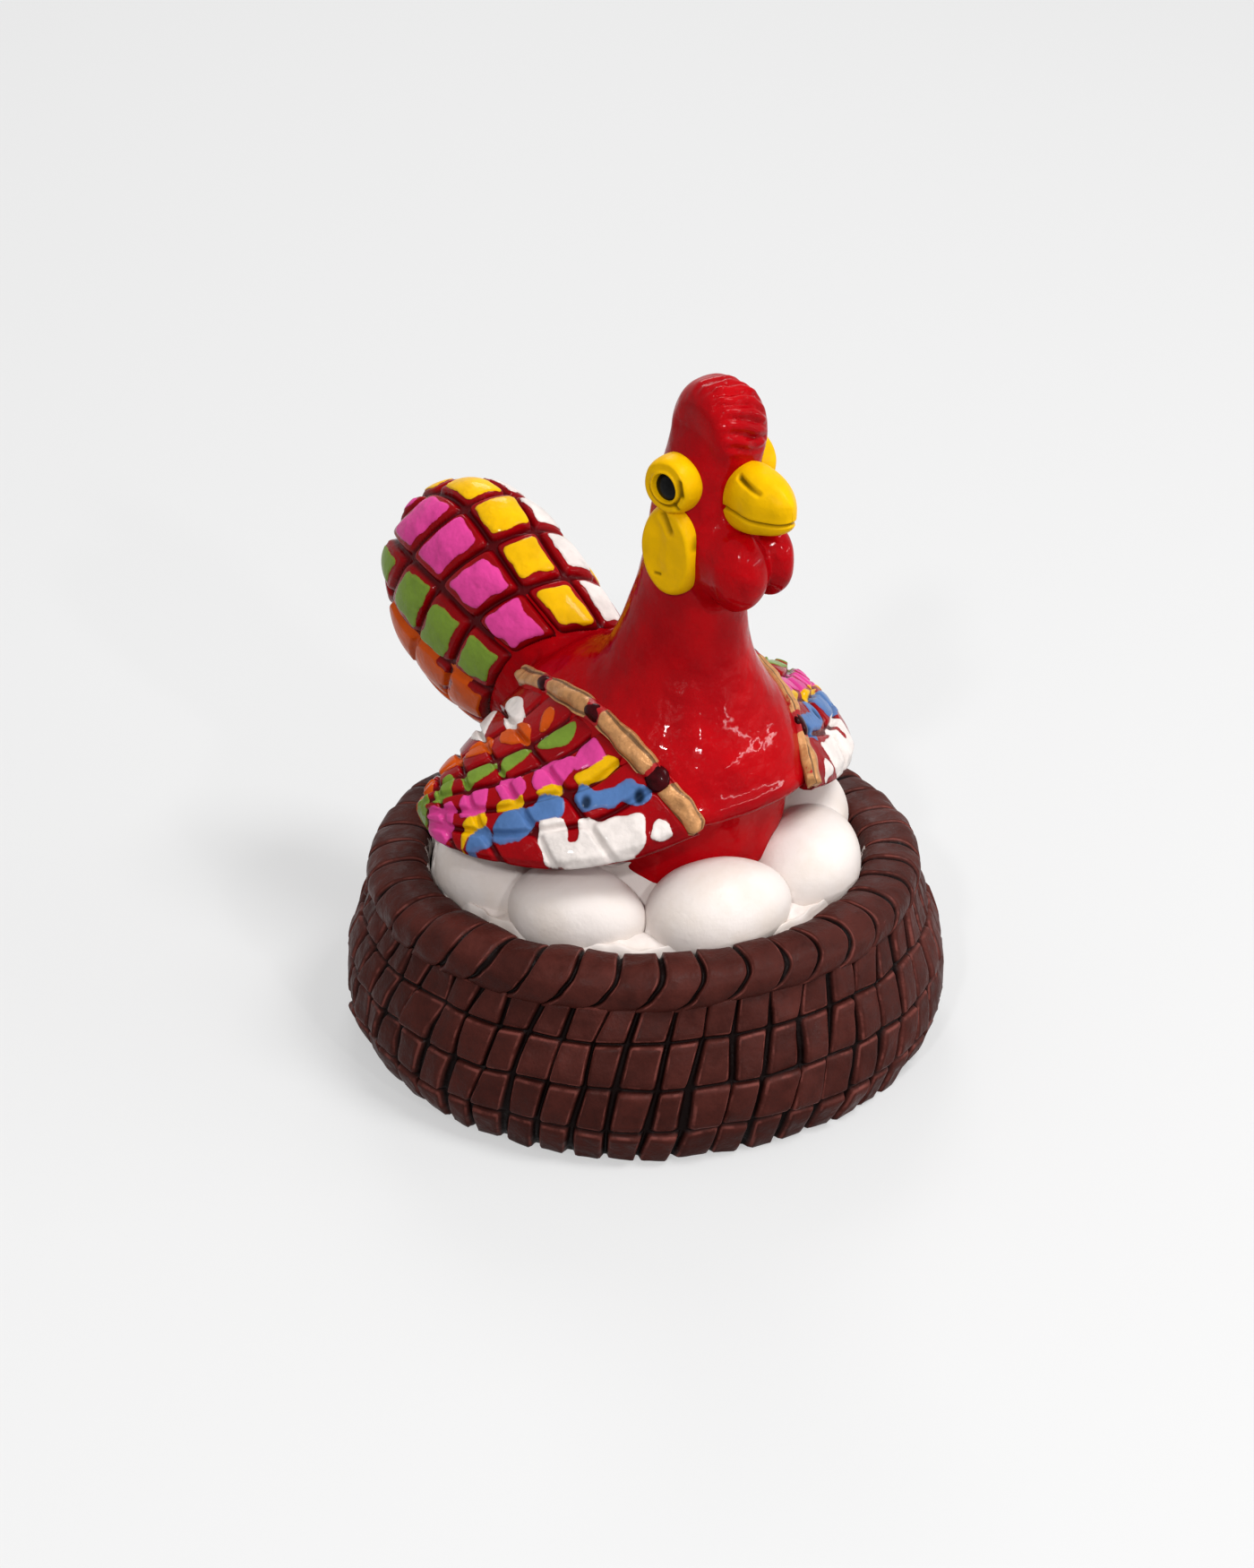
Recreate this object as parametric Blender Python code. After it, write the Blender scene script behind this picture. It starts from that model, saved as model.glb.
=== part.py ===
"""Hen figurine: a hen brooding on a ring of eggs in a stitched coil nest, cast in one piece and painted.

Metres, +Z up. The origin is the middle of the flat base. The hen faces -Y and its right wing is at -X.
Every form below overlaps its neighbours, and one union makes them the single casting.
"""

import math
import random
from collections import namedtuple

import bmesh
import bpy
from mathutils import Matrix, Vector

MM = 0.001

# Nest wall: four rows of stitches, as (share of the height, share of the radius) from the foot up
NEST_RADIUS = 30.1 * MM
NEST_WALL_HEIGHT = 15.2 * MM
WALL_PROFILE = ((0.0, 0.936), (0.26, 1.0), (0.54, 0.99), (0.80, 0.953), (1.0, 0.908))
NEST_STITCHES = 52
STITCH_LEAN = math.radians(6.5)
STITCH_GROOVE = 0.5 * MM
STITCH_RELIEF = 0.75 * MM
STITCH_WANDER = 0.3 * MM
SHOULDER_RISE = 1.5 * MM
SHOULDER_RISE_ANGLE = math.radians(300)

# Nest rim: a fat coil that tops the wall, wrapped with wider stitches
RIM_INNER_RADIUS = 21.0 * MM
RIM_OUTER_RADIUS = 27.6 * MM
RIM_TOP = 19.7 * MM
RIM_STITCHES = 40
RIM_LEAN = math.radians(5)
RIM_SEGMENTS = 6
RIM_START = math.radians(-35)
RIM_END = math.radians(178)
BEDDING_HEIGHT = 19.3 * MM
FILLING_HEIGHT = 24.0 * MM
TRUNK_SINK = 2.22 * MM

# Eggs: a ring of them lying end to end inside the rim
EGG_COUNT = 8
EGG_LENGTH = 14.2 * MM
EGG_DIAMETER = 10.2 * MM
EGG_TAPER = 0.12
EGG_MIDDLE_HEIGHT = 20.3 * MM
FIRST_EGG_ANGLE = math.radians(209)

# Trunk: level sections from the eggs up to the crown of the head
LEDGE_HEIGHT = 29.4 * MM
CROWN_HEIGHT = 67.5 * MM
BREAST_REACH = 16.9 * MM
BREAST_HALF_WIDTH = 12.0 * MM
NECK_HALF_WIDTH = 5.0 * MM
HEAD_HALF_WIDTH = 4.7 * MM
HEAD_REACH = 13.8 * MM
TRUNK_SIDES = 22

# Tail: a fat fan of feather blocks, as (share of the length, of the depth, of the width) from its root
TAIL_ROOT = Vector((0, 7.0 * MM, LEDGE_HEIGHT + 2.9 * MM))
TAIL_TILT = math.radians(15)
TAIL_LENGTH = 30.5 * MM
TAIL_HALF_DEPTH = 11.6 * MM
TAIL_HALF_WIDTH = 7.0 * MM
TAIL_PROFILE = (
    (0.0, 0.55, 0.78),
    (0.12, 0.66, 0.84),
    (0.24, 0.80, 0.90),
    (0.345, 0.89, 0.95),
    (0.45, 0.96, 0.99),
    (0.555, 1.0, 1.0),
    (0.66, 0.99, 0.99),
    (0.76, 0.93, 0.94),
    (0.85, 0.80, 0.84),
    (0.93, 0.60, 0.68),
    (0.985, 0.32, 0.38),
)
TAIL_COLUMNS = 10
TAIL_ROWS = 4
TAIL_FIRST_ROW = 2

# Wings: rows of feather blocks that run from the band to the tip. Their edges' heights are from the ledge
WING_ROWS = 7
WING_COLUMNS = 5
WING_DOME = 5.2 * MM
WING_DEPTH = 2.0 * MM
FEATHER_GROOVE = 0.55 * MM
FEATHER_RELIEF = 0.65 * MM
WING_FRONT_EDGE = (
    Vector((-7.4, -16.5, 0.0)) * MM,
    Vector((-13.0, -13.8, -1.8)) * MM,
    Vector((-18.6, -9.6, -2.8)) * MM,
    Vector((-22.2, -3.6, -3.0)) * MM,
    Vector((-23.4, 2.2, -3.2)) * MM,
    Vector((-21.9, 7.4, -3.4)) * MM,
)
WING_TRAILING_EDGE = (
    Vector((-6.2, 9.6, 5.8)) * MM,
    Vector((-11.0, 10.2, 2.6)) * MM,
    Vector((-16.6, 9.8, -0.8)) * MM,
    Vector((-21.9, 7.4, -3.4)) * MM,
)

# Bands along the wings' roots, each with three dark stones. The path's heights are from the ledge
BAND_PATH = (
    Vector((-6.4, 9.6, 7.0)) * MM,
    Vector((-8.9, 2.6, 8.4)) * MM,
    Vector((-9.9, -4.4, 8.5)) * MM,
    Vector((-9.5, -12.3, 5.0)) * MM,
    Vector((-7.2, -16.7, 0.2)) * MM,
)
BAND_WIDTH = 2.3 * MM
BAND_THICKNESS = 1.5 * MM
STONE_RADIUS = 1.25 * MM
STONE_PLACES = (0.09, 0.38, 0.72)

# Face
EYE_HEIGHT = CROWN_HEIGHT - 5.35 * MM
EYE_BACK = 9.5 * MM
EYE_RADIUS = 3.0 * MM
EYE_STAND = 1.5 * MM
BOSS_SIDES = 16
LOBE_HALF_WIDTH = 3.5 * MM
LOBE_HALF_HEIGHT = 4.5 * MM
BEAK_LENGTH = 6.9 * MM
BEAK_HALF_WIDTH = 3.2 * MM
MOUTH_HEIGHT = CROWN_HEIGHT - 6.9 * MM
UPPER_BEAK_DEPTH = 4.4 * MM
LOWER_BEAK_DEPTH = 2.2 * MM
WATTLE_RADII = Vector((2.25, 3.4, 3.9)) * MM
COMB_HALF_WIDTH = 3.2 * MM
COMB_HALF_LENGTH = 4.3 * MM
COMB_RISE = 5.6 * MM
COMB_WRINKLES = 5
COMB_WRINKLE_DEPTH = 0.45 * MM

PAINTS = {
    "brown": ((0.075, 0.026, 0.017), 0.55, 0.0),
    "white": ((0.84, 0.82, 0.79), 0.4, 0.0),
    "red": ((0.42, 0.002, 0.008), 0.18, 0.0),
    "yellow": ((0.85, 0.52, 0.01), 0.4, 0.0),
    "pink": ((0.75, 0.09, 0.36), 0.4, 0.0),
    "green": ((0.20, 0.28, 0.05), 0.4, 0.0),
    "orange": ((0.70, 0.17, 0.01), 0.4, 0.0),
    "blue": ((0.10, 0.24, 0.62), 0.4, 0.0),
    "gold": ((0.55, 0.36, 0.13), 0.35, 0.6),
    "garnet": ((0.045, 0.002, 0.004), 0.2, 0.0),
    "black": ((0.006, 0.006, 0.006), 0.25, 0.0),
}
TAIL_PALETTE = ("green", "pink", "yellow", "white", "yellow", "green", "pink", "orange", "orange", "orange")
WING_PALETTE = ("white", "blue", "yellow", "pink", "green", "orange", "white")

Section = namedtuple("Section", "z front back half_width power")
Form = namedtuple("Form", "mesh paints")


def spline(points, t):
    """A Catmull-Rom curve through the points, at t from 0 to 1."""
    last = len(points) - 1
    place = min(max(t, 0.0), 1.0) * last
    i = min(int(place), last - 1)
    f = place - i
    p1, p2 = points[i], points[i + 1]
    p0 = points[i - 1] if i > 0 else 2 * p1 - p2
    p3 = points[i + 2] if i + 2 <= last else 2 * p2 - p1
    linear = (p2 - p0) * f
    square = (2 * p0 - 5 * p1 + 4 * p2 - p3) * f**2
    cube = (3 * p1 - p0 - 3 * p2 + p3) * f**3
    return 0.5 * (2 * p1 + linear + square + cube)


def mirrored(p, side):
    """side is 1 for the hen's right side, at -X, and -1 for its left."""
    return Vector((p.x * side, p.y, p.z))


def ring_faces(bm, rings):
    """The faces between rings of vertices, ring by ring."""
    faces = []
    for low, high in zip(rings, rings[1:]):
        for i in range(len(low)):
            j = (i + 1) % len(low)
            faces.append(bm.faces.new((low[i], low[j], high[j], high[i])))
    return faces


def skin(rows):
    """A closed bmesh through rows of points, each of which runs once round it. Its ends are flat."""
    bm = bmesh.new()
    rings = [[bm.verts.new(p) for p in row] for row in rows]
    ring_faces(bm, rings)
    bm.faces.new(reversed(rings[0]))
    bm.faces.new(rings[-1])
    bmesh.ops.recalc_face_normals(bm, faces=bm.faces)
    bm.faces.ensure_lookup_table()
    return bm


def raise_blocks(bm, groups, groove, height):
    """Raises each group of faces as one block, with grooves between. Small blocks rise less."""
    for group in groups:
        shortest = min(edge.calc_length() for face in group for edge in face.edges)
        share = min(1.0, shortest * 0.45 / groove)
        gap = groove / 2 * share
        bmesh.ops.inset_region(bm, faces=group, thickness=gap, depth=height * share, use_even_offset=True)


def rounded(value, power):
    """A sine or cosine, pressed towards a square corner by a power over 2."""
    return math.copysign(abs(value) ** (2 / power), value)


def oval(half_width, front, back, z, power=2, count=32):
    """A level ring. front and back are its reach along -Y and +Y."""
    middle, half = (back - front) / 2, (back + front) / 2
    points = []
    for k in range(count):
        a = 2 * math.pi * k / count
        x = half_width * rounded(math.cos(a), power)
        y = middle + half * rounded(math.sin(a), power)
        points.append(Vector((x, y, z)))
    return points


def shoulder_rise(angle):
    """The hand-laid rim sits a little higher at the hen's left front."""
    return SHOULDER_RISE * (0.5 + 0.5 * math.cos(angle - SHOULDER_RISE_ANGLE)) ** 1.5


def wall_rings():
    """Rings of points up the wall, each point a little off its place, as hand work is."""
    wander = random.Random(7)
    rings = []
    for share, radius_share in WALL_PROFILE:
        ring = []
        for k in range(NEST_STITCHES):
            slip = wander.uniform(-1, 1) * STITCH_WANDER
            angle = 2 * math.pi * k / NEST_STITCHES + STITCH_LEAN * share + slip / NEST_RADIUS
            radius = NEST_RADIUS * radius_share - STITCH_RELIEF
            z = share * (NEST_WALL_HEIGHT + shoulder_rise(angle) * share**3)
            if 0 < share < 1:
                z += wander.uniform(-1, 1) * STITCH_WANDER / 2
            ring.append(Vector((radius * math.cos(angle), radius * math.sin(angle), z)))
        rings.append(ring)
    return rings


def rim_rings():
    """Rings over the rim, whose section is a squarish oval, from the wall's top round to the bedding."""
    relief = STITCH_RELIEF * 0.7
    middle = (RIM_OUTER_RADIUS + RIM_INNER_RADIUS) / 2
    half_width = (RIM_OUTER_RADIUS - RIM_INNER_RADIUS) / 2 - relief
    half_height = (RIM_TOP - NEST_WALL_HEIGHT) * 0.51
    rings = []
    for j in range(RIM_SEGMENTS + 1):
        phi = RIM_START + (RIM_END - RIM_START) * j / RIM_SEGMENTS
        ring = []
        for k in range(RIM_STITCHES):
            angle = 2 * math.pi * k / RIM_STITCHES + RIM_LEAN * j / RIM_SEGMENTS
            radius = middle + half_width * rounded(math.cos(phi), 2.5)
            z = RIM_TOP - relief - half_height * (1 - rounded(math.sin(phi), 2.5))
            z += shoulder_rise(angle) * max(0, 1 - j / 2)
            ring.append(Vector((radius * math.cos(angle), radius * math.sin(angle), z)))
        rings.append(ring)
    return rings


def nest():
    """The wall, the rim and what fills the nest are one skin, with a groove where wall and rim meet."""
    bm = bmesh.new()
    edge = RIM_INNER_RADIUS - 0.3 * MM
    filling = ((edge, BEDDING_HEIGHT - 0.8 * MM), (edge * 0.8, BEDDING_HEIGHT), (edge * 0.64, FILLING_HEIGHT))
    bedding = [oval(radius, radius, radius, z, count=RIM_STITCHES) for radius, z in filling]
    wall = [[bm.verts.new(p) for p in ring] for ring in wall_rings()]
    rim = [[bm.verts.new(p) for p in ring] for ring in rim_rings() + bedding]
    wall_faces = ring_faces(bm, wall)
    rim_faces = ring_faces(bm, rim)
    joint = [bm.edges.get((loop[i - 1], loop[i])) for loop in (wall[-1], rim[0]) for i in range(len(loop))]
    bmesh.ops.bridge_loops(bm, edges=joint)
    bm.faces.new(wall[0])
    bed_faces = rim_faces[RIM_SEGMENTS * RIM_STITCHES :] + [bm.faces.new(rim[-1])]
    for face in bed_faces:
        face.material_index = 1
    bmesh.ops.recalc_face_normals(bm, faces=bm.faces)
    stitches = [[face] for face in wall_faces]
    stitches += [rim_faces[k : RIM_SEGMENTS * RIM_STITCHES : RIM_STITCHES] for k in range(RIM_STITCHES)]
    raise_blocks(bm, stitches, STITCH_GROOVE, STITCH_RELIEF * 0.9)
    for v in bm.verts:
        v.co.z = max(v.co.z, 0.0)
    return Form(bm, ["brown", "white"])


def egg(number):
    """One egg along the rim, its blunt end towards the next."""
    bm = bmesh.new()
    bmesh.ops.create_uvsphere(bm, u_segments=12, v_segments=8, radius=1.0)
    for v in bm.verts:
        wide = EGG_DIAMETER / 2 * (1 - EGG_TAPER * v.co.z)
        v.co = Vector((v.co.x * wide, v.co.y * wide, v.co.z * EGG_LENGTH / 2))
    angle = FIRST_EGG_ANGLE + 2 * math.pi * number / EGG_COUNT
    ring = RIM_INNER_RADIUS + 0.4 * MM - EGG_DIAMETER / 2
    lay = Matrix.Rotation(angle, 4, "Z") @ Matrix.Rotation(math.pi / 2, 4, "X")
    place = Matrix.Translation((ring * math.cos(angle), ring * math.sin(angle), EGG_MIDDLE_HEIGHT))
    bmesh.ops.transform(bm, verts=bm.verts, matrix=place @ lay)
    return Form(bm, ["white"])


def trunk():
    """Breast, back, neck and head. The breast ends in a ledge over the eggs."""
    z0 = LEDGE_HEIGHT
    rise = CROWN_HEIGHT - z0
    reach, wide, neck = BREAST_REACH, BREAST_HALF_WIDTH, NECK_HALF_WIDTH
    head, head_wide = HEAD_REACH, HEAD_HALF_WIDTH
    sections = (
        Section(FILLING_HEIGHT - TRUNK_SINK, 0.84 * reach, 0.68 * reach, 0.90 * wide, 2.4),
        Section(z0 - 0.02 * rise, 0.88 * reach, 0.72 * reach, 0.95 * wide, 2.6),
        Section(z0, 0.98 * reach, 0.75 * reach, 0.98 * wide, 2.9),
        Section(z0 + 0.03 * rise, reach, 0.76 * reach, wide, 2.9),
        Section(z0 + 0.13 * rise, 0.93 * reach, 0.74 * reach, 0.95 * wide, 2.6),
        Section(z0 + 0.20 * rise, 0.86 * reach, 0.66 * reach, 0.88 * wide, 2.4),
        Section(z0 + 0.255 * rise, 0.81 * reach, 0.48 * reach, 0.76 * wide, 2.2),
        Section(z0 + 0.33 * rise, 0.75 * reach, 0.17 * reach, 0.585 * wide, 2.1),
        Section(z0 + 0.385 * rise, 0.725 * reach, 0.08 * reach, 1.24 * neck, 2.1),
        Section(z0 + 0.46 * rise, 0.715 * reach, -0.005 * reach, 1.07 * neck, 2.1),
        Section(z0 + 0.54 * rise, 0.735 * reach, -0.08 * reach, 0.98 * neck, 2.1),
        Section(z0 + 0.65 * rise, 0.91 * head, -0.21 * head, head_wide, 2.3),
        Section(z0 + 0.76 * rise, 0.98 * head, -0.28 * head, head_wide, 2.5),
        Section(z0 + 0.88 * rise, head, -0.37 * head, 0.97 * head_wide, 2.5),
        Section(z0 + 0.95 * rise, 0.98 * head, -0.42 * head, 0.80 * head_wide, 2.5),
        Section(CROWN_HEIGHT, 0.90 * head, -0.46 * head, 0.50 * head_wide, 2.3),
    )
    rows = [oval(s.half_width, s.front, s.back, s.z, s.power, TRUNK_SIDES) for s in sections]
    return Form(skin(rows), ["red"])


def tail():
    """Rings along a straight axis that tips up and back, with blocks raised on the far end."""
    sides = TAIL_COLUMNS * 2
    axis = Vector((0, math.cos(TAIL_TILT), math.sin(TAIL_TILT)))
    up = Vector((0, -math.sin(TAIL_TILT), math.cos(TAIL_TILT)))
    rows = []
    for share, depth_share, width_share in TAIL_PROFILE:
        row = []
        for k in range(sides):
            a = 2 * math.pi * k / sides
            across = Vector((-math.cos(a) * (TAIL_HALF_WIDTH * width_share), 0, 0))
            high = up * math.sin(a) * TAIL_HALF_DEPTH * depth_share
            row.append(TAIL_ROOT + axis * TAIL_LENGTH * share + across + high)
        rows.append(row)
    bm = skin(rows)
    groups = []
    paints = ["red"] + sorted(set(TAIL_PALETTE))
    for j in range(TAIL_ROWS):
        for k in range(TAIL_COLUMNS):
            ring = TAIL_FIRST_ROW + 2 * j
            cells = [(ring + dj, (2 * k + dk) % sides) for dj in (0, 1) for dk in (-1, 0)]
            group = [bm.faces[row * sides + column] for row, column in cells]
            for face in group:
                face.material_index = paints.index(TAIL_PALETTE[k])
            groups.append(group)
    raise_blocks(bm, groups, FEATHER_GROOVE, FEATHER_RELIEF)
    return Form(bm, paints)


def wing_edge(u, v):
    """A straight line across the wing, from its front edge to its trailing one, at u from band to tip."""
    return spline(WING_FRONT_EDGE, u).lerp(spline(WING_TRAILING_EDGE, u), v) + Vector((0, 0, LEDGE_HEIGHT))


def wing_top(u, v):
    """The wing's upper side is that line, domed."""
    dome = WING_DOME * math.sin(math.pi * v) ** 0.75 * (1 - 0.62 * u)
    return wing_edge(u, v) + Vector((-0.45, -0.1, 1)) * dome


def wing_underside(u, v):
    edge = wing_edge(u, v)
    return Vector((edge.x * 0.92, edge.y, edge.z - WING_DEPTH))


def wing(side):
    """One wing: a sheet with raised blocks over a plain underside, closed round their edge."""
    along, across = WING_COLUMNS * 2, WING_ROWS
    bm = bmesh.new()
    tops, bottoms = [], []
    for i in range(along + 1):
        u = 0.97 * i / along
        tops.append([bm.verts.new(mirrored(wing_top(u, j / across), side)) for j in range(across + 1)])
        bottoms.append([bm.verts.new(mirrored(wing_underside(u, v), side)) for v in (0, 1)])
    cells = []
    for top, next_top, bottom, next_bottom in zip(tops, tops[1:], bottoms, bottoms[1:]):
        for j in range(across):
            cells.append(bm.faces.new((top[j], next_top[j], next_top[j + 1], top[j + 1])))
        bm.faces.new((bottom[0], bottom[1], next_bottom[1], next_bottom[0]))
        for v in (0, -1):
            bm.faces.new((top[v], bottom[v], next_bottom[v], next_top[v]))
    for i in (0, -1):
        bm.faces.new(tops[i] + bottoms[i][::-1])
    bmesh.ops.recalc_face_normals(bm, faces=bm.faces)
    paints = ["red"] + sorted(set(WING_PALETTE))
    groups = []
    for i in range(WING_COLUMNS):
        for j in range(WING_ROWS):
            group = [cells[2 * i * across + j], cells[(2 * i + 1) * across + j]]
            for face in group:
                face.material_index = paints.index(WING_PALETTE[j])
            groups.append(group)
    raise_blocks(bm, groups, FEATHER_GROOVE, FEATHER_RELIEF)
    return Form(bm, paints)


def band_point(t):
    return spline(BAND_PATH, t) + Vector((0, 0, LEDGE_HEIGHT))


def outwards(p):
    """The way the trunk's shoulder faces at a point near it."""
    return Vector((p.x, p.y * 0.35, 5.0 * MM)).normalized()


def band(side):
    """A half-round strap, half of it sunk."""
    steps, sides = 10, 6
    rows = []
    for i in range(steps + 1):
        t = i / steps
        p = band_point(t)
        ahead = band_point(t + 0.02) - band_point(t - 0.02)
        out = outwards(p)
        across = ahead.cross(out).normalized()
        row = []
        for k in range(sides):
            a = 2 * math.pi * k / sides
            q = p + across * math.cos(a) * BAND_WIDTH / 2 + out * math.sin(a) * BAND_THICKNESS / 2
            row.append(mirrored(q, side))
        rows.append(row)
    return Form(skin(rows), ["gold"])


def stone(side, t):
    p = band_point(t)
    return ball(mirrored(p + outwards(p) * STONE_RADIUS / 4, side), [STONE_RADIUS] * 3, "garnet", 8, 5)


def ball(centre, radii, colour, segments, rings):
    bm = bmesh.new()
    bmesh.ops.create_uvsphere(bm, u_segments=segments, v_segments=rings, radius=1.0)
    bmesh.ops.scale(bm, verts=bm.verts, vec=radii)
    bmesh.ops.translate(bm, verts=bm.verts, vec=centre)
    return Form(bm, [colour])


def boss(centre, half_width, half_height, profile, side):
    """A flat oval on the side of the head. profile is (how far out, share of its size) from its root."""
    rows = []
    for out, size in profile:
        row = []
        for k in range(BOSS_SIDES):
            a = 2 * math.pi * k / BOSS_SIDES
            around = Vector((-out, half_width * size * math.cos(a), half_height * size * math.sin(a)))
            row.append(mirrored(centre + around, side))
        rows.append(row)
    return Form(skin(rows), ["yellow"])


def mandible(depth, half_width, length, droop):
    """Half a beak, above the mouth with a depth over 0 and below it with one under 0."""
    inside = 2.6 * MM
    rows = []
    for share in (0.0, 0.35, 0.6, 0.8, 0.93, 1.0):
        shrink = math.sqrt(max(1 - share**3, 0.09))
        height = abs(depth) / 2 * (0.45 + 0.55 * shrink)
        middle = MOUTH_HEIGHT + math.copysign(height, depth) - droop * share**2
        y = -HEAD_REACH + inside - share * (length + inside)
        row = []
        for k in range(14):
            a = 2 * math.pi * k / 14
            x = half_width * shrink * math.cos(a)
            row.append(Vector((x, y, middle + height * rounded(math.sin(a), 2.5))))
        rows.append(row)
    return Form(skin(rows), ["yellow"])


def comb():
    """A thick rounded block on the crown, creased across its front and top."""
    centre = Vector((0, -10.4 * MM, CROWN_HEIGHT - 1.7 * MM))
    half_layers = ((0.4, 1.0), (0.8, 0.93), (0.97, 0.8), (1.0, 0.62))
    layers = [(-across, size) for across, size in reversed(half_layers)] + list(half_layers)
    count = 32
    creased = math.radians(125)
    rows = []
    for across, size in layers:
        row = []
        for k in range(count):
            a = 2 * math.pi * k / count
            crease = 0.0
            if 0 < a < creased:
                wave = math.sin(math.pi * COMB_WRINKLES * a / creased) ** 2
                crease = COMB_WRINKLE_DEPTH * wave * (1 - abs(across))
            y = -rounded(math.cos(a), 2.35) * (COMB_HALF_LENGTH * size - crease)
            z = rounded(math.sin(a), 2.35) * (COMB_RISE * size - crease)
            row.append(centre + Vector((COMB_HALF_WIDTH * across, y, z)))
        rows.append(row)
    return Form(skin(rows), ["red"])


def face_forms():
    """Eyes, ear lobes, wattles, beak and comb."""
    root = 1.0 * MM
    stand = EYE_STAND + root
    socket = stand - 0.5 * MM
    eye_disc = ((0, 0.95), (stand * 0.75, 1.0), (stand * 0.95, 0.94), (stand, 0.8))
    eye_profile = (*eye_disc, (stand, 0.58), (socket, 0.48))
    lobe_profile = ((0, 0.9), (stand * 0.7, 1.0), (stand * 0.88, 0.93), (stand * 0.95, 0.74), (stand, 0.4))
    eye = Vector((root - HEAD_HALF_WIDTH, -EYE_BACK, EYE_HEIGHT))
    pupil = eye - Vector((socket - 0.1 * MM, 0, 0))
    pupil_radii = (0.55 * MM, EYE_RADIUS * 0.4, EYE_RADIUS * 0.4)
    lobe = eye - Vector((0, 0, EYE_RADIUS + LOBE_HALF_HEIGHT * 0.85))
    wattle = Vector((-1.8 * MM, -HEAD_REACH - 1.0 * MM, MOUTH_HEIGHT - 6.4 * MM))
    forms = {
        "beak_upper": mandible(UPPER_BEAK_DEPTH, BEAK_HALF_WIDTH, BEAK_LENGTH, 0.3 * MM),
        "beak_lower": mandible(-LOWER_BEAK_DEPTH, BEAK_HALF_WIDTH * 0.9, BEAK_LENGTH * 0.96, 0.1 * MM),
        "comb": comb(),
    }
    for side, name in ((1, "right"), (-1, "left")):
        forms[f"eye_{name}"] = boss(eye, EYE_RADIUS, EYE_RADIUS, eye_profile, side)
        forms[f"pupil_{name}"] = ball(mirrored(pupil, side), pupil_radii, "black", 10, 4)
        forms[f"lobe_{name}"] = boss(lobe, LOBE_HALF_WIDTH, LOBE_HALF_HEIGHT, lobe_profile, side)
        forms[f"wattle_{name}"] = ball(mirrored(wattle, side), WATTLE_RADII, "red", 12, 7)
    return forms


def casting_forms():
    """Everything that sits in the nest."""
    forms = {"trunk": trunk(), "tail": tail()}
    for number in range(EGG_COUNT):
        forms[f"egg_{number + 1}"] = egg(number)
    for side, name in ((1, "right"), (-1, "left")):
        forms[f"wing_{name}"] = wing(side)
        forms[f"band_{name}"] = band(side)
        for number, t in enumerate(STONE_PLACES):
            forms[f"stone_{name}_{number + 1}"] = stone(side, t)
    forms.update(face_forms())
    return forms


def paint(name):
    """A Principled material for one of the paints."""
    if name in bpy.data.materials:
        return bpy.data.materials[name]
    colour, roughness, metallic = PAINTS[name]
    material = bpy.data.materials.new(name)
    material.use_nodes = True
    shader = material.node_tree.nodes["Principled BSDF"]
    shader.inputs["Base Color"].default_value = (*colour, 1)
    shader.inputs["Roughness"].default_value = roughness
    shader.inputs["Metallic"].default_value = metallic
    return material


def keep(name, form, collection):
    """Makes a form an object."""
    mesh = bpy.data.meshes.new(name)
    form.mesh.to_mesh(mesh)
    form.mesh.free()
    for colour in form.paints:
        mesh.materials.append(paint(colour))
    obj = bpy.data.objects.new(name, mesh)
    collection.objects.link(obj)
    return obj


def main():
    for obj in list(bpy.data.objects):
        bpy.data.objects.remove(obj)
    scene = bpy.context.scene
    helpers = bpy.data.collections.new("forms")
    scene.collection.children.link(helpers)
    figurine = keep("hen_figurine", nest(), scene.collection)
    for name, form in casting_forms().items():
        helper = keep(name, form, helpers)
        helper.hide_render = True
        helper.display_type = "WIRE"
    union = figurine.modifiers.new("cast_as_one", "BOOLEAN")
    union.operation = "UNION"
    union.operand_type = "COLLECTION"
    union.collection = helpers
    union.solver = "EXACT"
    union.material_mode = "TRANSFER"


main()
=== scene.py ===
"""Dresses the hen figurine: a glossy red hen, thickly painted by hand, brooding in a carved brown nest.

Run it as a script in Blender. Every length is in metres, in the frame of the CAD model: +Z is up, the origin
is the middle of the nest's flat base, the hen faces -Y and its right wing is at -X.
"""

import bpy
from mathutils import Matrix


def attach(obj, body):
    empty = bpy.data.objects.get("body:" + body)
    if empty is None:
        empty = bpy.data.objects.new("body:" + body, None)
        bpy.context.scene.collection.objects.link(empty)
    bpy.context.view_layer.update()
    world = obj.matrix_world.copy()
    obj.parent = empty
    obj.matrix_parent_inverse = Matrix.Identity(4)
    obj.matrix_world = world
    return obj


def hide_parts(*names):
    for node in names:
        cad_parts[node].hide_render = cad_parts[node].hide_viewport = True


bl_info = {
    "name": "Hen figurine",
    "version": (1, 0, 0),
    "blender": (4, 5, 0),
    "location": "3D View > Sidebar > Hen figurine",
    "description": "Makes a painted hen, her eggs and her nest over the figurine's CAD model",
    "category": "Add Mesh",
}

import math

import bmesh
import bpy
import numpy as np
from bpy.props import FloatProperty, FloatVectorProperty, IntProperty, PointerProperty
from mathutils import Vector

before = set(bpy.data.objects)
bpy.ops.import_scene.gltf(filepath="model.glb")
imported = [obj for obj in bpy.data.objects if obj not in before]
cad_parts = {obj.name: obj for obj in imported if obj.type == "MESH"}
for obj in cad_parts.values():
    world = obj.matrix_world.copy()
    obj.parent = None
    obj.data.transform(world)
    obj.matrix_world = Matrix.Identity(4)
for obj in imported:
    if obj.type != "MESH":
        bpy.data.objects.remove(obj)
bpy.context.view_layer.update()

MM = 0.001
NODE = "hen_figurine"

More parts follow.
